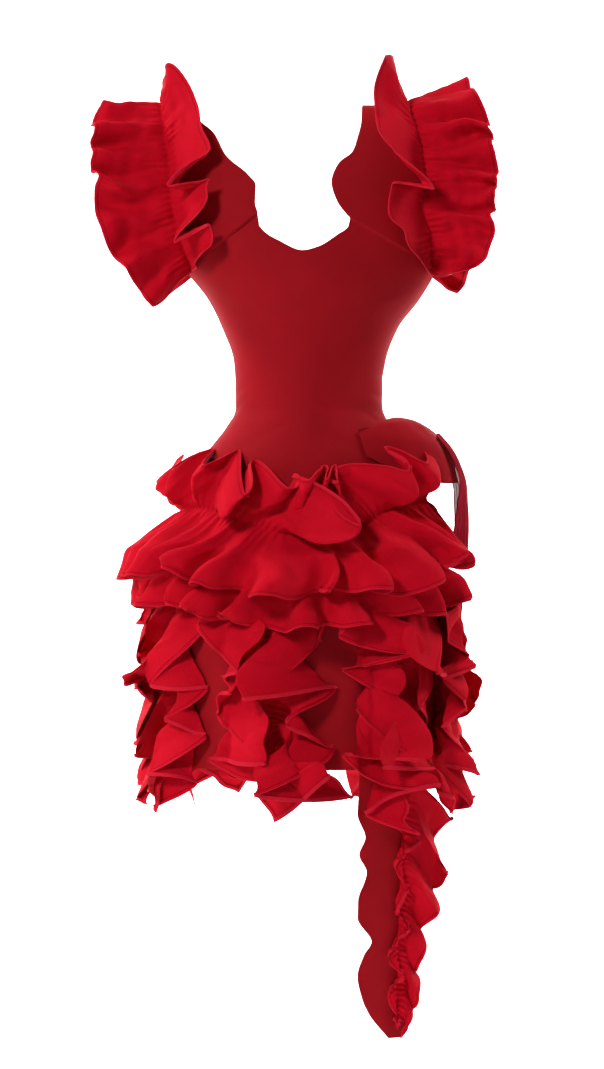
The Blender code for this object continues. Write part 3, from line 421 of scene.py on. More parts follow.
def crepe():
    """Polyester crepe, piece dyed dark red: matt, a fine pebbled grain, hardly any sheen."""
    made, tree, shader = new_material("polyester_crepe")
    cut = add(tree, "UVMap", uv_map="cut")
    # The real grain is 0.4 mm; it is drawn at 1.1 mm so that it shows.
    grain = add(tree, "TexNoise", {"Vector": cut.outputs["UV"], "Scale": 1 / CREPE_GRAIN,
                                   "Detail": 2.0, "Roughness": 0.6})
    cloud = add(tree, "TexNoise", {"Vector": cut.outputs["UV"], "Scale": 14.0, "Detail": 3.0})
    mixed = add(tree, "Math", {0: grain.outputs["Fac"], 1: cloud.outputs["Fac"]}, operation="ADD")
    tone = add(tree, "MapRange", {"Value": mixed.outputs["Value"], "From Min": 0.7,
                                  "From Max": 1.3, "To Min": 0.0, "To Max": 1.0})
    colour = add(tree, "Mix", {"Factor": tone.outputs["Result"], "A": linear("#950D18"),
                               "B": linear("#A20F1B")}, data_type="RGBA")
    # Painted highlight: the rolled hems and the cloth within 1.2 mm of a free edge take a lighter, pinker
    # red, which stands in for light catching the rolled edges.
    edge = add(tree, "Attribute", attribute_name="edge")
    painted_highlight_mask = add(tree, "MapRange", {"Value": edge.outputs["Fac"], "From Min": 0.0,
                                  "From Max": 0.0012, "To Min": 0.35, "To Max": 0.0})
    rim = add(tree, "Mix", {"Factor": painted_highlight_mask.outputs["Result"], "A": colour.outputs["Result"],
                            "B": linear("#A01420")}, data_type="RGBA")
    bump = add(tree, "Bump", {"Height": grain.outputs["Fac"], "Strength": 0.35, "Distance": 0.0003})
    feed(shader, {"Base Color": rim.outputs["Result"], "Normal": bump.outputs["Normal"],
                  "Roughness": 0.78, "Specular IOR Level": 0.07, "Sheen Weight": 0.01,
                  "Sheen Roughness": 0.5, "Sheen Tint": linear("#E0606A")})
    return made


CREPE = crepe()


def across_strap(row):
    """x and height from the inner to the outer edge of a strap's row."""
    inner_x, inner_z, outer_x, outer_z = row
    across = np.linspace(0, 1, STRAP_CELLS + 1)
    return inner_x + (outer_x - inner_x) * across, inner_z + (outer_z - inner_z) * across


def strap_grid(table, face, inner_first):
    at = np.linspace(0, len(table) - 1, STRAP_ROWS + 1)[:, None]
    grid = on_shoulder(*across_strap(columns_at(at, numbered(table))), face)
    return grid if inner_first else grid[:, ::-1]


def strap_base(table):
    """Angle and height of a strap's lowest row, from its inner to its outer edge."""
    x, z = across_strap(table[0])
    return angle_at(x, z), z


def lower_panel(top_angles, top_heights, first_angle, last_angle):
    """A panel from the hip line up to the given top edge, close to the body."""
    rise = np.linspace(0, 1, BODICE_ROWS + 1)[:, None] ** ROWS_CROWD
    even = np.linspace(first_angle, last_angle, len(top_angles))
    angles = even + (top_angles - even) * ease(EVEN_UP_TO, 1.0, rise)
    bottom = BASQUE + GAP / 2
    heights = bottom + (top_heights - bottom) * rise
    return on_body(angles, heights, WALL / 2 + creased_bodice(angles, heights))


def creased_bodice(degrees, z):
    """Height of the drag lines, which are placed by angle and height."""
    table = [(angle * BODICE_DEGREE, height, *rest) for angle, height, *rest in BODICE_CREASES]
    turned = ((np.asarray(degrees) + 180) % 360 - 180) * BODICE_DEGREE
    return creased(turned, z, table) + BODICE_SOFT * ripple(turned, z, BODICE_SOFT_PITCH, 3)


def join_rows(panel, straps):
    """Points, cells and free border of a panel and of straps that grow from its top row."""
    rows, columns = panel.shape[:2]
    points, cells = [panel.reshape(-1, 3)], [cells_of(np.arange(rows * columns).reshape(rows, columns))]
    free = np.zeros((rows, columns), bool)
    free[-1] = True
    frees, count = [free.ravel()], rows * columns
    for first, strap in straps:
        across = strap.shape[1]
        base = (rows - 1) * columns + first + np.arange(across)
        above = count + np.arange((len(strap) - 1) * across).reshape(-1, across)
        cells.append(cells_of(np.vstack([base, above])))
        points.append(strap[1:].reshape(-1, 3))
        side = np.zeros((len(strap) - 1, across), bool)
        side[:, [0, -1]] = True
        frees.append(side.ravel())
        count += above.size
    return np.concatenate(points), np.concatenate(cells), np.concatenate(frees)


def bodice_piece(node, points, cells, free):
    round_body = np.arctan2(points[:, 0], np.abs(points[:, 1]) + GRAIN_DEPTH) * GRAIN_RADIUS
    cloth = np.stack([round_body, points[:, 2]], axis=-1)
    cloth_piece(node, CREPE, points, cells, cloth, np.where(free, 0.0, 1.0), free)


def bodice():
    left_angle, left_z = strap_base(LEFT_FRONT_STRAP)
    right_angle, right_z = strap_base(RIGHT_FRONT_STRAP)
    neck = np.array(((-0.064, -0.153),) + NECKLINE + ((0.058, -0.159),))
    x = np.linspace(neck[0, 0], neck[-1, 0], NECK_COLUMNS + 2)[1:-1]
    z, = columns_at(x, neck)
    top_angles = np.concatenate([left_angle[::-1], angle_at(x, z), right_angle])
    top_heights = np.concatenate([left_z[::-1], z, right_z])
    top_angles[0], top_angles[-1] = -90 + SEAM_ANGLE, 90 - SEAM_ANGLE
    panel = lower_panel(top_angles, top_heights, -90 + SEAM_ANGLE, 90 - SEAM_ANGLE)
    left, right = strap_grid(LEFT_FRONT_STRAP, -1, False), strap_grid(RIGHT_FRONT_STRAP, -1, True)
    points, cells, free = join_rows(panel, [(0, left), (panel.shape[1] - STRAP_CELLS - 1, right)])
    bodice_piece("bodice_front", points, cells, free)
    for name, side, table in (("bodice_back_left", -1, LEFT_BACK_STRAP),
                              ("bodice_back_right", 1, RIGHT_BACK_STRAP)):
        angles, heights = strap_base(table)
        angles, heights = (180 - np.abs(angles))[::-1], heights[::-1]
        angles[0] = 90 + SEAM_ANGLE
        scoop = np.array(BACK_SCOOP)[::-1] * (-1, 1)
        knots = np.vstack([[(angles[-1], heights[-1])], scoop])
        more = np.linspace(knots[0, 0], knots[-1, 0], SCOOP_COLUMNS + 1)[1:]
        top_angles = np.concatenate([angles, more])
        top_heights = np.concatenate([heights, *columns_at(more, knots)])
        top_angles[-1] -= SEAM_ANGLE
        panel = lower_panel(side * top_angles, top_heights, side * (90 + SEAM_ANGLE),
                            side * (180 - SEAM_ANGLE))
        points, cells, free = join_rows(panel, [(0, strap_grid(table, 1, False))])
        cells = cells if side > 0 else cells[:, ::-1]
        bodice_piece(name, points, cells, free)


bodice()

# The skirt: the same crepe, a front and a back, fitted and short, seamed to the bodice at the
# hip line under the ruffles. Only narrow stretches of it show between the hanging strips.
SKIRT_COLUMNS, SKIRT_ROWS = 120, 90
# Soft upright wrinkles: height, distance apart, metres of cloth a degree, how drawn out they are
SKIRT_SOFT, SKIRT_PITCH, SKIRT_DEGREE, SKIRT_DRAWN = 0.0012, 0.05, 0.0026, 0.35


def skirt():
    for node, first, facing in (("skirt_front", -90, (0, -1, 0)), ("skirt_back", 90, (0, 1, 0))):
        degrees, z = np.meshgrid(
            np.linspace(first + SEAM_ANGLE, first + 180 - SEAM_ANGLE, SKIRT_COLUMNS + 1),
            np.linspace(BASQUE - GAP / 2, HEM, SKIRT_ROWS + 1))
        soft = ripple(degrees * SKIRT_DEGREE, z * SKIRT_DRAWN, SKIRT_PITCH, 11)
        off = WALL / 2 + SKIRT_SOFT * soft * ease(BASQUE, -0.7, z)
        grid_piece(node, CREPE, on_body(degrees, z, off), facing,
                   ("bottom",))


skirt()

# The ruffles: washed cotton poplin in a brighter red. Each is a straight strip of double width,
# gathered by a line of stitches along its middle and sewn down on that line, so that a wing
# springs up on each side. Every free edge has a narrow hem. Each is worked out round the body.
# Map of how far the cloth laid so far stands off the body: degrees and metres a cell, lowest
# height, number of cells round and up. Then the air between layers, and a layer on the bodice
MAP_DEGREES, MAP_STEP, MAP_LOW, MAP_SHAPE = 2.0, 0.005, -1.300, (180, 260)
LAYER_AIR = 0.004
ON_BODICE = WALL + GAP + WALL / 2
# How far a map cell spreads over its neighbours, and how far it is then evened out, in cells
MAP_SPREAD, MAP_BLUR = 4, 2
# Share of a crest's lift that a valley has, how quickly a wing arches up, its steepest rise
VALLEY_LIFT, ARCH, STEEPEST = 0.08, 1.6, 0.93
# Fold sections: the fullest one's swing in radians, how many are worked out between flat and
# full and in how many steps, and how straight the flanks are (the nearer to 0 the straighter)
MOST_SWING, SWINGS, PHASES, FOLD_FLAT = 1.85, 44, 128, 0.45
# Gathers at the stitched line: distance apart, height, how far they run out
GATHER_PITCH, GATHER_HEIGHT, GATHER_REACH = 0.0075, 0.0013, 0.020
# Flutter of the free edge between the main folds, soft unevenness, puff beside the stitches
FLUTTER, SOFT, PUFF = 0.0040, 0.0012, 0.0022
# Long puckers that run out from the stitches: distance apart, height
PUCKER_PITCH, PUCKER_HEIGHT, PUCKER_LONG, PUCKER_FADE = 0.016, 0.0012, 0.12, 0.8
# How uneven the gathers are: how far they run out and the least of it, and their pitch
REACH_UNEVEN, LEAST_REACH, PITCH_UNEVEN = 0.6, 0.006, 1.4
# Share of a wing's width by which each has grown to the full: gathers, puff and puckers, soft
# unevenness, sag, the rise onto layers below, the folds' turn; and by which the puff is gone
GATHERS_BY, PUFF_BY, SOFT_BY, SAG_BY, LAYER_BY, TURN_BY, PUFF_GONE = 0.04, 0.08, 0.3, 0.3, 0.45, 0.55, 0.5
# Distance apart of the soft changes in each measure of a wing, and which draw gives them
CHANGES = {"flutter": (0.036, 0), "turn": (0.08, 1), "soft": (0.024, 4), "lift": (0.09, 6),
           "slide": (0.07, 7)}
# How unevenly the folds swing aside, stand off and crowd together
UNEVEN_TURN, UNEVEN_LIFT, UNEVEN_SLIDE = 0.30, 0.22, 0.010
WING_ROWS = 26
OUTWARD = np.linspace(0, 1, WING_ROWS + 1)[:, None]
# Metres of cloth a degree round the hips
HIP_DEGREE = 0.0028
covered = np.zeros(MAP_SHAPE)


def poplin():
    """Washed cotton poplin, piece dyed: a soft nap that lights up at a slant, a plain weave."""
    made, tree, shader = new_material("cotton_poplin")
    cut = add(tree, "UVMap", uv_map="cut")
    # Real threads are 0.25 mm apart; they are drawn at 2 mm so that a trace of them shows.
    threads = [add(tree, "TexWave", {"Vector": cut.outputs["UV"], "Scale": 159.0,
                                     "Distortion": 1.2, "Detail": 1.0, "Detail Scale": 2.0},
                   bands_direction=way).outputs["Fac"] for way in ("X", "Y")]
    weave = add(tree, "Math", {0: threads[0], 1: threads[1]}, operation="MULTIPLY")
    slub = add(tree, "TexNoise", {"Vector": cut.outputs["UV"], "Scale": 900.0, "Detail": 2.0,
                                  "Roughness": 0.7})
    wash = add(tree, "TexNoise", {"Vector": cut.outputs["UV"], "Scale": 30.0, "Detail": 4.0})
    fine = add(tree, "Math", {0: slub.outputs["Fac"], 1: wash.outputs["Fac"]}, operation="ADD")
    tone = add(tree, "MapRange", {"Value": fine.outputs["Value"], "From Min": 0.65, "From Max": 1.35})
    colour = add(tree, "Mix", {"Factor": tone.outputs["Result"], "A": linear("#B60018"),
                               "B": linear("#C90722")}, data_type="RGBA")
    # Painted highlight: the rolled hems and the cloth within 1 mm of a free edge take a lighter, pinker
    # red, which stands in for light catching the rolled edges.
    edge = add(tree, "Attribute", attribute_name="edge")
    painted_highlight_mask = add(tree, "MapRange", {"Value": edge.outputs["Fac"], "From Min": 0.0004,
                                  "From Max": 0.0010, "To Min": 0.25, "To Max": 0.0})
    rim = add(tree, "Mix", {"Factor": painted_highlight_mask.outputs["Result"], "A": colour.outputs["Result"],
                            "B": linear("#DC3048")}, data_type="RGBA")
    off_line = add(tree, "Math", {0: edge.outputs["Fac"], 1: HEM_TURN}, operation="SUBTRACT")
    off_line = add(tree, "Math", {0: off_line.outputs["Value"]}, operation="ABSOLUTE")
    row = add(tree, "MapRange", {"Value": off_line.outputs["Value"], "From Min": 0.0003,
                                 "From Max": 0.0009, "To Min": 1.0, "To Max": 0.0})
    sewn = add(tree, "Mix", {"Factor": row.outputs["Result"], "A": rim.outputs["Result"],
                             "B": linear("#8E0012")}, data_type="RGBA")
    low = add(tree, "Math", {0: row.outputs["Result"], 1: -0.8}, operation="MULTIPLY")
    cloth = add(tree, "Math", {0: weave.outputs["Value"], 1: slub.outputs["Fac"]}, operation="ADD")
    height = add(tree, "Math", {0: cloth.outputs["Value"], 1: low.outputs["Value"]}, operation="ADD")
    bump = add(tree, "Bump", {"Height": height.outputs["Value"], "Strength": 0.4, "Distance": 0.0004})
    feed(shader, {"Base Color": sewn.outputs["Result"], "Normal": bump.outputs["Normal"],
                  "Roughness": 0.85, "Specular IOR Level": 0.08, "Sheen Weight": 0.03,
                  "Sheen Roughness": 0.45, "Sheen Tint": linear("#F0506A")})
    return made


POPLIN = poplin()


def widened(field, cells, take):
    for axis in (0, 1):
        shifts = [np.roll(field, step, axis) for step in range(-cells, cells + 1)]
        field = take(shifts, axis=0)
    return field


def between(field, row, column):
    """A grid's value between its cells; past the last row comes the first."""
    r = np.floor(row).astype(int)
    c = np.minimum(np.floor(column).astype(int), field.shape[1] - 2)
    s, t, after = row - r, column - c, (r + 1) % len(field)
    r = r % len(field)
    return ((1 - s) * ((1 - t) * field[r, c] + t * field[r, c + 1])
            + s * ((1 - t) * field[after, c] + t * field[after, c + 1]))


def clearance(degrees, z):
    """How far off the body a new layer must be, read between the map's cells."""
    field = widened(widened(covered, MAP_SPREAD, np.max), MAP_BLUR, np.mean)
    column = np.clip((np.asarray(z) - MAP_LOW) / MAP_STEP - 0.5, 0, MAP_SHAPE[1] - 1.001)
    return between(np.where(field > 0, field + LAYER_AIR, 0),
                   (np.asarray(degrees) % 360) / MAP_DEGREES - 0.5, column)


def cover(degrees, z, off):
    row = (degrees % 360 / MAP_DEGREES).astype(int) % MAP_SHAPE[0]
    column = np.clip(((z - MAP_LOW) / MAP_STEP).astype(int), 0, MAP_SHAPE[1] - 1)
    np.maximum.at(covered, (row, column), off + WALL)


def folds_at(at, table):
    """Along a wing: turns (whole on a crest), lift, turn, lean and distance between crests."""
    table = np.array(table, float)
    table = table[np.argsort(table[:, 0])]
    crest = table[:, 0]
    turns = np.interp(at, crest, np.arange(len(crest)))
    first, last = crest[1] - crest[0], crest[-1] - crest[-2]
    turns = np.where(at < crest[0], (at - crest[0]) / first, turns)
    turns = np.where(at > crest[-1], len(crest) - 1 + (at - crest[-1]) / last, turns)
    lift, turn, lean = columns_at(at, table)
    return turns, lift / 1000, np.radians(turn), lean, smooth(at, crest, np.gradient(crest))


def fold_section(turns, ratio):
    """A fold of gathered cloth in section: how far it has slid along the line, and its height.

    Both are in distances between crests. The cloth's direction swings evenly to and fro, as a
    bent sheet's does, so a full fold has a round top that overhangs. turns is whole on a crest,
    ratio is the fold's height over the distance between crests.
    """
    phase = np.linspace(-0.5, 0.5, PHASES + 1)
    swing = np.linspace(0, MOST_SWING, SWINGS)[:, None]
    wave = np.sin(math.pi * (phase[1:] + phase[:-1]))
    way = -swing * np.sign(wave) * np.abs(wave) ** FOLD_FLAT
    along, high = [np.hstack([0 * swing, np.cumsum(part, axis=1)]) / PHASES
                   for part in (np.cos(way), np.sin(way))]
    full = along[:, -1:]
    along, high = along / full - 0.5 - phase, high / full
    row = np.interp(ratio, high[:, PHASES // 2], np.arange(SWINGS))
    column = np.broadcast_to(((turns + 0.5) % 1) * PHASES, row.shape)
    return between(along, row, column), between(high, row, column)


def wing_form(place, at, table, width, per, seed):
    """A gathered wing laid out in steps from its line: aside, forward along the line, and off.

    place is metres along the line and per turns a step of at into metres. The cloth keeps its
    width, so where a fold stands off it reaches less far aside. Rows run out from the line.
    """
    t, over, down = OUTWARD, place + 0 * OUTWARD, width * OUTWARD
    change = {kind: ripple(over, down, size, seed + draw) for kind, (size, draw) in CHANGES.items()}
    turns, lift, turn, lean, pitch = folds_at(at, table)
    pitch = pitch * per
    arch = (1 - (1 - t) ** ARCH) * (1 + UNEVEN_LIFT * change["lift"])
    slid, high = fold_section(turns, lift * arch / pitch)
    rise = high * pitch * (1 - VALLEY_LIFT) + VALLEY_LIFT * lift * arch
    rise = rise + FLUTTER * change["flutter"] * t ** 2
    stride = width / WING_ROWS
    steep = np.clip(np.diff(rise, axis=0) / stride, -STEEPEST, STEEPEST)
    stride = stride * np.sqrt(1 - steep ** 2)
    way = turn * ease(0, TURN_BY, t) + UNEVEN_TURN * change["turn"] * t
    middle = (way[1:] + way[:-1]) / 2
    zero = np.zeros((1, len(at)))
    aside = np.vstack([zero, np.cumsum(stride * np.cos(middle), axis=0)])
    forward = np.vstack([zero, np.cumsum(stride * np.sin(middle), axis=0)])
    slide = lean * rise * (0.5 + 0.5 * t) + slid * pitch + UNEVEN_SLIDE * change["slide"] * t
    aside, forward = aside - np.sin(way) * slide, forward + np.cos(way) * slide
    run = GATHER_REACH * (1 + REACH_UNEVEN * ripple(place, place * 0, 0.03, seed + 2))
    wobble = PITCH_UNEVEN * ripple(place, place * 0, 0.05, seed + 3)
    gather = np.sin(2 * math.pi * place / GATHER_PITCH + wobble)
    gather = gather * np.exp(-(down / np.maximum(run, LEAST_REACH)) ** 2) * ease(0, GATHERS_BY, t)
    puff = ease(0, PUFF_BY, t) * (1 - ease(PUFF_BY, PUFF_GONE, t))
    pucker = ripple(over, PUCKER_LONG * down, PUCKER_PITCH, seed + 5) * ease(0, PUFF_BY, t)
    relief = (GATHER_HEIGHT * gather + SOFT * change["soft"] * ease(0, SOFT_BY, t) + PUFF * puff
              + PUCKER_HEIGHT * pucker * (1 - PUCKER_FADE * t))
    return aside, forward, rise, relief


def hip_wing(line, at, table, across, width, sag, most, per, seed):
    """Angle, height and distance off the body of a wing of a ruffle on the hips."""
    degrees, z = line
    left, right, front, back = section(z)
    radius = (left + right + front + back) / 4
    along_d, along_z = np.gradient(np.radians(degrees) * radius), np.gradient(z)
    length = np.hypot(along_d, along_z)
    along_d, along_z = along_d / length, along_z / length
    side_d, side_z = -along_z * across, along_d * across
    place = np.concatenate([[0], np.cumsum(length[1:])])
    aside, forward, rise, relief = wing_form(place, at, table, width, per, seed)
    d = degrees + np.degrees((side_d * aside + along_d * forward) / radius)
    height = z + side_z * aside + along_z * forward
    off = ON_BODICE + ease(0, LAYER_BY, OUTWARD) * np.minimum(clearance(d, height), most) + rise
    height = height - sag * rise * ease(0, SAG_BY, OUTWARD)
    return d[1:], height[1:], np.maximum(off + relief, ON_BODICE)[1:]


def hip_ruffle(node, line, first, last, columns, per, wings, flat, on, seed):
    """A ruffle whose gather line is a table (where, angle, height) on the body.

    per turns a step of where into metres. The lower or right wing comes first; each is (folds,
    across, width, sag, most that the layers below may hold it off the body); folds are rows of
    place, lift in millimetres, turn in degrees, lean.
    """
    at = np.linspace(first, last, columns + 1)
    degrees, z = columns_at(at, line)
    below, above = [hip_wing((degrees, z), at, *wing, per, seed + 10 * number)
                    for number, wing in enumerate(wings)]
    seam = (degrees[None], z[None], np.full((1, len(at)), ON_BODICE))
    d, z, off = [np.vstack([above[k][::-1], seam[k], below[k]]) for k in range(3)]
    cover(d, z, off)
    middle = on_body(d.mean(), z.mean(), 1.0) - on_body(d.mean(), z.mean(), 0.0)
    grid_piece(node, POPLIN, on_body(d, z, off), middle)


# The tail: a long narrow crepe panel that hangs from the hem on the wearer's left, its left
# edge cut in scallops, with a poplin ruffle sewn down its outer side to the tip.
TAIL_END = -1.215
# Rows: height, left edge x, right edge x
TAIL_ROWS = (
    (-0.889, 0.070, 0.128), (-0.918, 0.069, 0.130), (-0.943, 0.068, 0.132), (-0.974, 0.078, 0.133),
    (-0.997, 0.070, 0.133), (-1.020, 0.080, 0.133), (-1.060, 0.068, 0.132), (-1.080, 0.068, 0.131),
    (-1.112, 0.086, 0.132), (-1.130, 0.076, 0.132), (-1.158, 0.068, 0.132), (-1.188, 0.074, 0.131),
    (-1.210, 0.084, 0.130), (-1.228, 0.098, 0.134), (-1.240, 0.108, 0.126))
TAIL_CELLS, TAIL_DEEP, TAIL_SOFT = 16, 150, 0.0010
# Gather line of its ruffle: height, angle
TAIL_LINE = ((-0.900, 46), (-0.974, 48), (-1.060, 46), (-1.150, 45), (TAIL_END, 44))
# Folds of its ruffle's left and right wing: height, lift, turn, lean
TAIL_FOLDS = (
    ((-0.915, 10, 64, 0.9), (-0.965, 12, 66, 0.9), (-1.030, 10, 68, 0.9), (-1.090, 10, 68, 0.9),
     (-1.150, 11, 68, 0.9), (-1.205, 8, 68, 0.8)),
    ((-0.905, 24, 46, 0.6), (-0.960, 34, 46, 0.8), (-1.030, 30, 56, 0.8), (-1.094, 18, 66, 0.8),
     (-1.150, 20, 62, 0.8), (-1.200, 14, 68, 0.8)))
TAIL_COLUMNS = 300
# Width of the tail ruffle's two wings by height: left, right
TAIL_WIDTHS = ((-0.900, 0.024, 0.100), (-0.985, 0.020, 0.094), (-1.045, 0.018, 0.066),
               (-1.120, 0.020, 0.050), (TAIL_END, 0.018, 0.034))


def upright(table):
    """A line down the body, from rows of height and angle."""
    return [(z, degrees, z) for z, degrees in table]


def tail():
    z = np.linspace(TAIL_ROWS[0][0], TAIL_ROWS[-1][0], TAIL_DEEP)[:, None]
    first, last = columns_at(z, TAIL_ROWS)
    x = first + (last - first) * np.linspace(0, 1, TAIL_CELLS + 1)
    z = np.broadcast_to(z, x.shape)
    off = WALL / 2 + TAIL_SOFT * (1 + ripple(x, z, 0.05, 21))
    grid_piece("tail_panel", CREPE, on_body(angle_at(x, z), z, off), (0, -1, 0))
    top = TAIL_LINE[0][0]
    left, right = TAIL_FOLDS
    narrow, wide = columns_at(np.linspace(top, TAIL_END, TAIL_COLUMNS + 1), TAIL_WIDTHS)
    wings = [(right, 1, wide, 0.0, 0.02), (left, -1, narrow, 0.0, 0.02)]
    hip_ruffle("tail_ruffle", upright(TAIL_LINE), top, TAIL_END, TAIL_COLUMNS, 1.0, wings,
               (0.084, 0.50), "tail_panel_cloth", 500)


tail()

# The hanging strips: poplin ruffles gathered along their middle and sewn down the skirt, from the
# lower tier to the hem, four in front and four behind. Their wings lie out to both sides.
# Lines: height, angle. Folds of the left and the right wing: height, lift, turn down, lean down
STRIP_COLUMNS, STRIP_WING = 300, 0.096
STRIP_LINES = {
    "strip_side_left": ((-0.618, -76), (-0.700, -72), (-0.780, -73), (-0.866, -75)),
    "strip_centre_left": ((-0.628, -17), (-0.765, -15), (-0.816, -16), (-0.840, -12), (-0.872, -8)),
    "strip_centre_right": ((-0.622, 28), (-0.683, 36), (-0.733, 41), (-0.807, 38), (-0.890, 43)),
    "strip_side_right": ((-0.618, 82), (-0.720, 85), (-0.820, 83), (-0.868, 81)),
}
STRIP_FOLDS = {
    "strip_side_left": (
        ((-0.622, 16, 48, 0.8), (-0.670, 58, 34, 0.8), (-0.724, 70, 28, 0.5), (-0.784, 56, 52, 0.9),
         (-0.846, 50, 60, 1.1)),
        ((-0.620, 14, 48, 0.9), (-0.686, 50, 60, 1.4), (-0.748, 34, 54, 1.0), (-0.808, 54, 62, 1.3),
         (-0.862, 34, 66, 1.0))),
    "strip_centre_left": (
        ((-0.615, 14, 46, 1.0), (-0.662, 50, 50, 1.4), (-0.716, 30, 60, 1.0), (-0.780, 54, 56, 1.4),
         (-0.846, 50, 62, 1.3)),
        ((-0.620, 14, 48, 1.0), (-0.692, 60, 58, 1.4), (-0.756, 36, 54, 1.0), (-0.834, 62, 62, 1.4))),
    "strip_centre_right": (
        ((-0.612, 14, 46, 1.0), (-0.656, 44, 54, 1.4), (-0.708, 36, 64, 1.1), (-0.766, 50, 58, 1.4),
         (-0.836, 52, 62, 1.3)),
        ((-0.610, 14, 44, 1.0), (-0.678, 58, 52, 1.2), (-0.734, 34, 64, 1.1), (-0.792, 52, 58, 1.3),
         (-0.856, 32, 68, 1.0))),
    "strip_side_right": (
        ((-0.616, 14, 46, 0.9), (-0.680, 46, 60, 1.2), (-0.740, 34, 54, 1.0), (-0.800, 48, 66, 1.2),
         (-0.856, 28, 68, 1.0)),
        ((-0.616, 22, 44, 0.8), (-0.668, 48, 42, 0.9), (-0.728, 54, 54, 1.0), (-0.788, 42, 52, 0.9),
         (-0.848, 36, 66, 0.9))),
}
BACK_STRIPS = {"strip_back_far_left": -118, "strip_back_left": -156,
               "strip_back_right": 165, "strip_back_far_right": 128}
BACK_TOP, BACK_BEND, BACK_BOTTOM, BACK_SWAY = -0.625, -0.740, HEM + 0.002, 3
# Folds behind: how many, how unevenly placed; lift, turn and lean with how much each varies
BACK_FOLDS, BACK_UNEVEN, BACK_LIFT, BACK_TURN, BACK_LEAN = 5, 0.20, (38, 9), (48, 10), (1.1, 0.15)
STRIP_CUT = (0.180, 0.55)


def back_strip_folds(number, wing):
    rows = []
    for fold in range(BACK_FOLDS):
        share = (fold + BACK_UNEVEN * math.sin(3 * fold + wing + number)) / BACK_FOLDS
        swing = math.sin(2.3 * fold + 1.7 * number + 2.1 * wing)
        lift, turn, lean = [mean + part * swing for mean, part in (BACK_LIFT, BACK_TURN, BACK_LEAN)]
        rows.append((BACK_TOP + (BACK_BOTTOM - BACK_TOP) * share, lift * ease(-1, 1, fold), turn, lean))
    return rows


def strip(node, table, folds, ways, on, seed):
    wings = [(rows, across, STRIP_WING, 0.0, 0.03) for rows, across in zip(folds, ways)]
    hip_ruffle(node, upright(table), table[0][0], table[-1][0], STRIP_COLUMNS, 1.0, wings, STRIP_CUT,
               on, seed)


def strips():
    for number, (node, table) in enumerate(STRIP_LINES.items()):
        strip(node, table, STRIP_FOLDS[node], (-1, 1), "skirt_front_cloth", 100 + 40 * number)
    for number, (node, degrees) in enumerate(BACK_STRIPS.items()):
        table = ((BACK_TOP, degrees), (BACK_BEND, degrees + BACK_SWAY * math.sin(number)),
                 (BACK_BOTTOM, degrees))
        folds = [back_strip_folds(number, wing) for wing in (0, 1)]
        strip(node, table, folds, (1, -1), "skirt_back_cloth", 300 + 40 * number)


strips()

# The hip drape: a soft puff of crepe that springs from the waist over the wearer's left hip,
# caught in the waist and under the top ruffle.
# Rows: height, distance off the body at the side
DRAPE_ROWS = ((-0.4220, 0.0044), (-0.4190, 0.016), (-0.4220, 0.032), (-0.4330, 0.046),
              (-0.4520, 0.052), (-0.4780, 0.050), (-0.5060, 0.044))
# Air under the drape, its soft wrinkles, height of the waist seam, how far its ends hang lower
DRAPE_AIR, DRAPE_SOFT, DRAPE_WAIST, DRAPE_HANG = 0.0025, 0.0012, -0.436, 0.010
# Angles over which the air begins, the puff swells in front and it sinks again behind
AIR_FROM, SWELLS, SINKS = (30, 52), (30, 74), (108, 150)
DRAPE_FIRST, DRAPE_LAST, DRAPE_COLUMNS, DRAPE_DEEP = 34, 143, 90, 50


def hip_drape():
    at = np.linspace(0, len(DRAPE_ROWS) - 1, DRAPE_DEEP + 1)[:, None]
    height, stand = columns_at(at, numbered(DRAPE_ROWS))
    degrees = np.linspace(DRAPE_FIRST, DRAPE_LAST, DRAPE_COLUMNS + 1)
    degrees, z = np.broadcast_arrays(degrees, height)
    swell = ease(*SWELLS, degrees) * (1 - ease(*SINKS, degrees))
    off = ON_BODICE + DRAPE_AIR * ease(0, 1, at) * ease(*AIR_FROM, degrees) + (stand - 0.002) * swell
    off = off + DRAPE_SOFT * ripple(degrees * 0.0025, z, 0.03, 31) * ease(0, 3, at) * swell
    z = DRAPE_WAIST + (z - DRAPE_WAIST) * (0.25 + 0.75 * np.sqrt(swell)) - DRAPE_HANG * (1 - swell)
    cover(degrees, z, off)
    grid_piece("hip_drape", CREPE, on_body(degrees, z, off), (1, 0, 0))


hip_drape()

# The two hip ruffles: the lower one first, then the upper one over its heading. Each is a strip
# gathered along a line that dips at the front, in a front and a back length.
# Lines: angle, height. Folds: angle, lift, turn, lean
UPPER_LINE = ((-105, -0.545), (-56, -0.541), (-36, -0.553), (-22, -0.565), (-7, -0.575), (6, -0.566),
              (24, -0.563), (39, -0.544), (53, -0.536), (70, -0.530), (84, -0.528))
UPPER_TOP_FOLDS = (
    (-92, 44, 0, -0.5), (-74, 42, 0, 0.2), (-58, 28, 0, 0.5), (-43, 44, 8, 0.9), (-28, 32, 6, 0.6),
    (-11, 50, 14, 1.1), (3, 26, 0, 0.2), (13, 26, -4, -0.4), (24, 32, -6, -0.5), (41, 44, 0, 0.4),
    (62, 34, 0, -0.3))
UPPER_LOW_FOLDS = (
    (-94, 38, -10, -0.8), (-82, 46, 8, -0.8), (-70, 38, -8, -0.8), (-57, 50, 8, -0.75),
    (-45, 40, -10, -0.6), (-33, 50, 8, -0.55), (-21, 40, -8, -0.35), (-9, 46, 8, -0.1),
    (3, 38, -8, 0.15), (15, 50, 8, 0.4), (27, 40, -8, 0.6), (40, 50, 10, 0.7), (53, 42, 0, 0.5),
    (66, 38, -10, -0.2))
LOWER_LINE = ((-105, -0.580), (-60, -0.582), (-30, -0.600), (-7, -0.614), (20, -0.602), (45, -0.588),
              (70, -0.576))
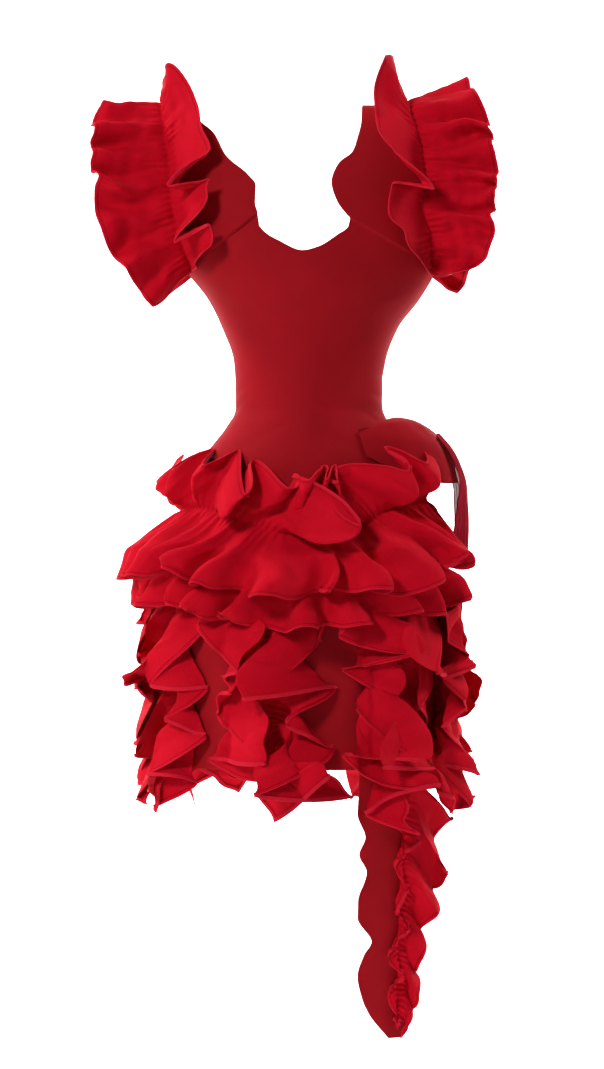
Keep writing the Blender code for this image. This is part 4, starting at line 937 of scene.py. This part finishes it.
LOWER_FOLDS = (
    (-94, 36, -8, -0.8), (-81, 44, 8, -0.75), (-68, 36, -8, -0.7), (-55, 46, 8, -0.7),
    (-42, 36, -8, -0.6), (-29, 46, 8, -0.6), (-16, 38, -8, -0.3), (-3, 42, 8, 0.0),
    (10, 36, -8, 0.3), (23, 46, 8, 0.6), (36, 38, -8, 0.7), (49, 44, 8, 0.5), (62, 38, -6, 0.0))
HEADING, TIER_WING = 0.012, 0.082
UPPER_END, FRONT_END, LEFT_END, BACK_START, BACK_END = 77, 69, -98, 121, 260
TIER_COLUMNS = 460
# Sag of the folds of a low and of a top wing; the most that layers below hold off the lower
# tier, the upper tier's low wing and its top wing
LOW_SAG, TOP_SAG, HELD_LOWER, HELD_LOW, HELD_TOP = 0.45, 0.4, 0.014, 0.026, 0.02
# Tiers behind: how many folds; how unevenly placed, how much their lift varies, how they lean
BACK_TIER_FOLDS, TIER_UNEVEN, TIER_LIFT_UNEVEN, TIER_LEAN = 9, 0.18, 0.25, 0.8


def level(table):
    """A line round the body, from rows of angle and height."""
    return [(degrees, degrees, z) for degrees, z in table]


def back_folds(lift, number):
    """Uneven folds like those of the front, for the side the front view hides."""
    rows, each = [], (BACK_END - BACK_START) / BACK_TIER_FOLDS
    for fold in range(BACK_TIER_FOLDS):
        at = BACK_START + each * (fold + 0.5 + TIER_UNEVEN * math.sin(2.1 * fold + number))
        height = lift * (1 + TIER_LIFT_UNEVEN * math.cos(1.3 * fold + number))
        rows.append((at, height, 0, TIER_LEAN * math.sin(fold + number)))
    return rows


def back_line(height, dip):
    return ((BACK_START - 2, height + 0.006), (185, height - dip), (BACK_END + 4, height))


def tier(node, table, ends, low, top, flat, on, seed):
    """A tier with the folds of its low and its top wing; without top folds it has a heading."""
    wings = [(low, -1, TIER_WING, LOW_SAG, HELD_LOW), (top, 1, TIER_WING, TOP_SAG, HELD_TOP)]
    if top is None:
        heading = [(at, 3, 0, 0) for at, *_ in low]
        wings = [(low, -1, TIER_WING, LOW_SAG, HELD_LOWER), (heading, 1, HEADING, 0.0, 0.0)]
    hip_ruffle(node, level(table), *ends, TIER_COLUMNS, HIP_DEGREE, wings, flat, on, seed)


def tiers():
    behind = (BACK_START, BACK_END)
    tier("hip_ruffle_lower_front", LOWER_LINE, (LEFT_END, FRONT_END), LOWER_FOLDS, None,
         (0.094, 1.20), "skirt_front_cloth", 600)
    tier("hip_ruffle_lower_back", back_line(-0.582, 0.012), behind, back_folds(34, 0.4), None,
         (0.094, 0.87), "skirt_back_cloth", 650)
    tier("hip_ruffle_upper_front", UPPER_LINE, (LEFT_END, UPPER_END), UPPER_LOW_FOLDS,
         UPPER_TOP_FOLDS, (0.164, 1.28), "bodice_front_cloth", 700)
    tier("hip_ruffle_upper_back", back_line(-0.540, 0.010), behind, back_folds(34, 1.1),
         back_folds(38, 2.6), (0.164, 0.90), "bodice_back_left_cloth", 750)


tiers()

# The net drape: soft nylon net, laid in fine upright pleats over the puff at the wearer's left
# side, caught at the waist and let fall.
# Rows: height, distance off the body
NET_ROWS = ((-0.4400, 0.057), (-0.4620, 0.060), (-0.4950, 0.059), (-0.5300, 0.053),
            (-0.5700, 0.047), (-0.6060, 0.042))
NET_FIRST, NET_LAST, NET_FOLDS, NET_DEPTH, NET_AIR = 75, 113, 13, 0.005, 0.0023
NET_COLUMNS, NET_DEEP = 300, 60
# How unevenly the pleats are placed, how far their flanks crowd, how shallow they are at the top
NET_UNEVEN, NET_CROWD, NET_SHALLOW = 0.010, 0.81, 0.6
# Heights over which the pleats deepen and over which the front edge falls in
NET_DEEPENS, NET_FALLS = (-0.45, -0.62), (-0.47, -0.60)
# Share of its distance by which the net's front edge falls in under the puff
NET_TUCK = 0.35


def nylon_net():
    """Nylon net: a sheer mesh that thickens to dark red where its pleats lie double."""
    made, tree, shader = new_material("nylon_net")
    cut = add(tree, "UVMap", uv_map="cut")
    # Real meshes are 0.8 mm; they are drawn at 3.1 mm so that they show.
    threads = [add(tree, "TexWave", {"Vector": cut.outputs["UV"], "Scale": 100.0, "Distortion": 0.0},
                   bands_direction=way).outputs["Fac"] for way in ("X", "Y")]
    most = add(tree, "Math", {0: threads[0], 1: threads[1]}, operation="MAXIMUM")
    sheer = add(tree, "MapRange", {"Value": most.outputs["Value"], "From Min": 0.5,
                                   "From Max": 1.0, "To Min": 0.80, "To Max": 0.98})
    feed(shader, {"Base Color": linear("#9C1226"), "Roughness": 0.8, "Specular IOR Level": 0.05,
                  "Alpha": sheer.outputs["Result"]})
    return made


NET = nylon_net()


def net_drape():
    height = np.linspace(NET_ROWS[0][0], NET_ROWS[-1][0], NET_DEEP + 1)[:, None]
    stand, = columns_at(height, NET_ROWS)
    across = np.linspace(0, 1, NET_COLUMNS + 1)[None, :]
    whole = 2 * math.pi * NET_FOLDS
    turn = whole * (across + NET_UNEVEN * ripple(across, 0 * across, 0.22, 41))
    degrees = NET_FIRST + (NET_LAST - NET_FIRST) * (across + NET_CROWD / whole * np.sin(turn))
    deep = NET_DEPTH * 0.5 * (NET_SHALLOW + (1 - NET_SHALLOW) * ease(*NET_DEEPENS, height))
    off = stand - deep * (1 - np.cos(turn)) + NET_AIR
    off = off * (1 - NET_TUCK * (1 - ease(0, 0.5, across)) * ease(*NET_FALLS, height))
    drop = 0.012 * np.abs(across - 0.4)
    degrees, z, off = np.broadcast_arrays(degrees, height - drop, off)
    cover(degrees, z, off)
    grid_piece("net_drape", NET, on_body(degrees, z, off), (1, 0, 0))


net_drape()

# The shoulder ruffles: poplin strips gathered along the armhole edge of each strap, from the
# front armhole over the shoulder to the back. The outer wing stands out over the arm; the inner
# one leans in over the strap and swings to and fro.
SHOULDER_COLUMNS, SHOULDER_INSET, SHOULDER_LONG, SHOULDER_LEAST_STEP = 520, 0.006, 0.46, 0.004
# Height of the gather line off the strap; least air under the inner wing, at the stitches and
# how much more at the free edge; greatest height at which the strap's surface is read
ON_STRAP, STRAP_AIR, LEAF_AIR, STRAP_TOP = 0.0026, 0.003, 0.03, -0.004
# How far the outer wing's folds sag, and how far it stands off with its reach
OUTER_SAG, OUTER_STAND = 0.30, 0.06
# The way the line faces: place, degrees forward of straight up
OVER_SHOULDER = ((0.0, 90), (0.36, 75), (0.5, 0), (0.64, -75), (1.0, -90))
# Folds of the outer wings, then of both inner ones: place along the line (0 front armhole, 0.5
# shoulder, 1 back armhole), lift, turn, lean
LEFT_FOLDS = (
    (0.020, 14, 0, 0.2), (0.095, 28, 0, 0.4), (0.175, 22, 0, 0.5), (0.245, 32, 0, 0.2),
    (0.325, 24, 0, 0.5), (0.400, 34, 0, 0.2), (0.480, 26, 0, -0.2), (0.560, 30, 0, 0.2),
    (0.650, 22, 0, 0.1), (0.740, 26, 0, -0.2), (0.830, 22, 0, 0.2), (0.910, 24, 0, 0.0),
    (0.980, 12, 0, 0))
RIGHT_FOLDS = (
    (0.020, 12, 0, 0.2), (0.080, 20, 0, 0.3), (0.145, 26, 0, 0.5), (0.205, 18, 0, 0.2),
    (0.265, 24, 0, 0.3), (0.325, 20, 0, 0.4), (0.385, 28, 0, 0.1), (0.450, 24, 0, -0.2),
    (0.530, 32, 0, 0.2), (0.610, 22, 0, 0.1), (0.690, 24, 0, -0.2), (0.770, 20, 0, 0.2),
    (0.850, 22, 0, 0.0), (0.930, 18, 0, -0.2), (0.985, 10, 0, 0))
INNER_FOLDS = (
    (0.030, 5, 0, 0.3), (0.110, 7, 0, 0.4), (0.200, 6, 0, -0.3), (0.280, 8, 0, 0.3),
    (0.360, 7, 0, 0.2), (0.450, 9, 0, 0.2), (0.540, 8, 0, -0.2), (0.640, 7, 0, 0.3),
    (0.740, 8, 0, 0), (0.850, 7, 0, 0.2), (0.960, 5, 0, 0))
# Outer wings: place, turn in the frontal plane in degrees, width
LEFT_OUTER = (
    (0.00, -42, 0.071), (0.06, -40, 0.080), (0.13, -24, 0.092), (0.20, -12, 0.104), (0.27, -4, 0.106),
    (0.34, -4, 0.100), (0.40, -9, 0.100), (0.47, -11, 0.086), (0.50, -13, 0.080), (0.60, -12, 0.090),
    (0.80, -16, 0.092), (1.00, -40, 0.060))
RIGHT_OUTER = (
    (0.00, -34, 0.034), (0.03, -22, 0.056), (0.07, -10, 0.076), (0.13, 4, 0.088), (0.20, 0, 0.098),
    (0.30, 0, 0.098), (0.40, -2, 0.098), (0.46, 3, 0.094), (0.50, 10, 0.090), (0.60, -2, 0.092),
    (0.80, -12, 0.090), (1.00, -34, 0.046))
# Inner wings, which swing to and fro between the strap and the armhole: place, turn off the
# strap at the stitches and at the free edge, how far they are drawn up, all degrees, and width
LEFT_INNER = (
    (0.000, 60, 96, 0, 0.034), (0.045, 26, 20, 4, 0.042), (0.085, 24, 24, 12, 0.046),
    (0.118, 40, 135, -24, 0.056), (0.160, 22, 20, 14, 0.050), (0.215, 20, 18, 8, 0.054),
    (0.256, 36, 145, -22, 0.062), (0.300, 20, 22, 18, 0.060), (0.370, 24, 36, 26, 0.064),
    (0.440, 34, 46, 44, 0.060), (0.500, 62, 72, 70, 0.046), (0.570, 32, 44, 46, 0.056),
    (0.650, 40, 120, 6, 0.058), (0.740, 24, 24, 0, 0.058), (0.830, 48, 130, 0, 0.058),
    (0.920, 24, 26, 0, 0.054), (1.000, 60, 90, 0, 0.036))
RIGHT_INNER = (
    (0.000, 80, 120, -20, 0.034), (0.040, 56, 90, -14, 0.044), (0.110, 34, 40, -8, 0.050),
    (0.165, 24, 22, 0, 0.052), (0.205, 24, 26, 12, 0.052), (0.243, 50, 145, -16, 0.058),
    (0.290, 26, 40, 10, 0.060), (0.350, 22, 20, 14, 0.068), (0.410, 22, 22, 26, 0.072),
    (0.455, 30, 32, 50, 0.072), (0.500, 40, 50, 64, 0.066), (0.570, 32, 40, 44, 0.062),
    (0.650, 44, 130, 6, 0.058), (0.740, 24, 24, 0, 0.058), (0.830, 48, 120, 0, 0.058),
    (0.920, 24, 26, 0, 0.054), (1.000, 60, 90, 0, 0.036))


def shoulder_line(front, back):
    """Outer strap edge from the front armhole over the shoulder to the back, and place along it."""
    front, back = np.array(front), np.array(back)[::-1]
    inset = np.sign(front[0, 2]) * SHOULDER_INSET
    path = [on_shoulder(row[2] - inset, row[3], -1) for row in front]
    path += [on_shoulder(row[2] - inset, row[3], 1) for row in back]
    path = np.array(path)
    step = np.linalg.norm(np.diff(path, axis=0), axis=1)
    return path, np.concatenate([[0], np.cumsum(step)]) / step.sum()


def off_strap(spot, at, rise, least):
    """Moves points out along rise until they are at least this far off the strap below them."""
    moved = spot.copy()
    for face, half in ((-1, at < 0.5), (1, at >= 0.5)):
        under = on_shoulder(spot[..., 0], np.minimum(spot[..., 2], STRAP_TOP), face)
        short = least - (spot[..., 1] - under[..., 1]) * face
        push = face * np.maximum(short, 0) * np.abs(rise[:, 1])
        moved[..., half, 1] += push[..., half]
    return moved


def shoulder_ruffle(node, side, front, back, folds, outer, inner, seed):
    path, place = shoulder_line(front, back)
    keep = np.concatenate([[True], np.diff(place) > SHOULDER_LEAST_STEP])
    at = np.linspace(0.0, 1.0, SHOULDER_COLUMNS + 1)
    line = np.stack(columns_at(at, np.column_stack([place, path])[keep]), axis=-1)
    swing = np.radians(np.interp(at, *zip(*OVER_SHOULDER)))
    rise = np.stack([np.zeros_like(at), -np.sin(swing), np.cos(swing)], axis=-1)
    up, out = np.array([0.0, 0.0, 1.0]), np.array([side, 0.0, 0.0])
    line = line + rise * ON_STRAP
    along = np.gradient(line, axis=0)
    along = along / np.linalg.norm(along, axis=1, keepdims=True)
    turn, width = columns_at(at, outer)
    form = wing_form(at * SHOULDER_LONG, at, folds, width, SHOULDER_LONG, seed + 10)
    aside, forward, lift, relief = [part[..., None] for part in form]
    turn, bend = np.radians(turn)[:, None], lift + relief
    stands = line + (out * np.cos(turn) + up * np.sin(turn)) * aside
    stands = stands + rise * (bend + OUTER_STAND * aside) - up * bend * OUTER_SAG + along * forward
    first, last, drawn, width = columns_at(at, inner)
    form = wing_form(at * SHOULDER_LONG, at, INNER_FOLDS, width, SHOULDER_LONG, seed)
    aside, forward, lift, relief = [part[..., None] for part in form]
    turn, drawn = np.radians(first + (last - first) * OUTWARD)[..., None], np.radians(drawn)[:, None]
    way = np.cos(drawn) * (rise * np.sin(turn) - out * np.cos(turn)) + np.sin(drawn) * up
    way = way / np.linalg.norm(way, axis=2, keepdims=True)
    leans = line + np.cumsum(np.diff(aside, axis=0, prepend=0) * way, axis=0) + along * forward
    leans = leans + (rise * np.cos(turn) + out * np.sin(turn)) * (lift + relief)
    leans = off_strap(leans, at, rise, STRAP_AIR + LEAF_AIR * OUTWARD)
    grid_piece(node, POPLIN, np.vstack([stands[:0:-1], line[None], leans[1:]]), (0, 0, 1))


shoulder_ruffle("shoulder_ruffle_left", -1, LEFT_FRONT_STRAP, LEFT_BACK_STRAP, LEFT_FOLDS,
                LEFT_OUTER, LEFT_INNER, 800)
shoulder_ruffle("shoulder_ruffle_right", 1, RIGHT_FRONT_STRAP, RIGHT_BACK_STRAP, RIGHT_FOLDS,
                RIGHT_OUTER, RIGHT_INNER, 840)
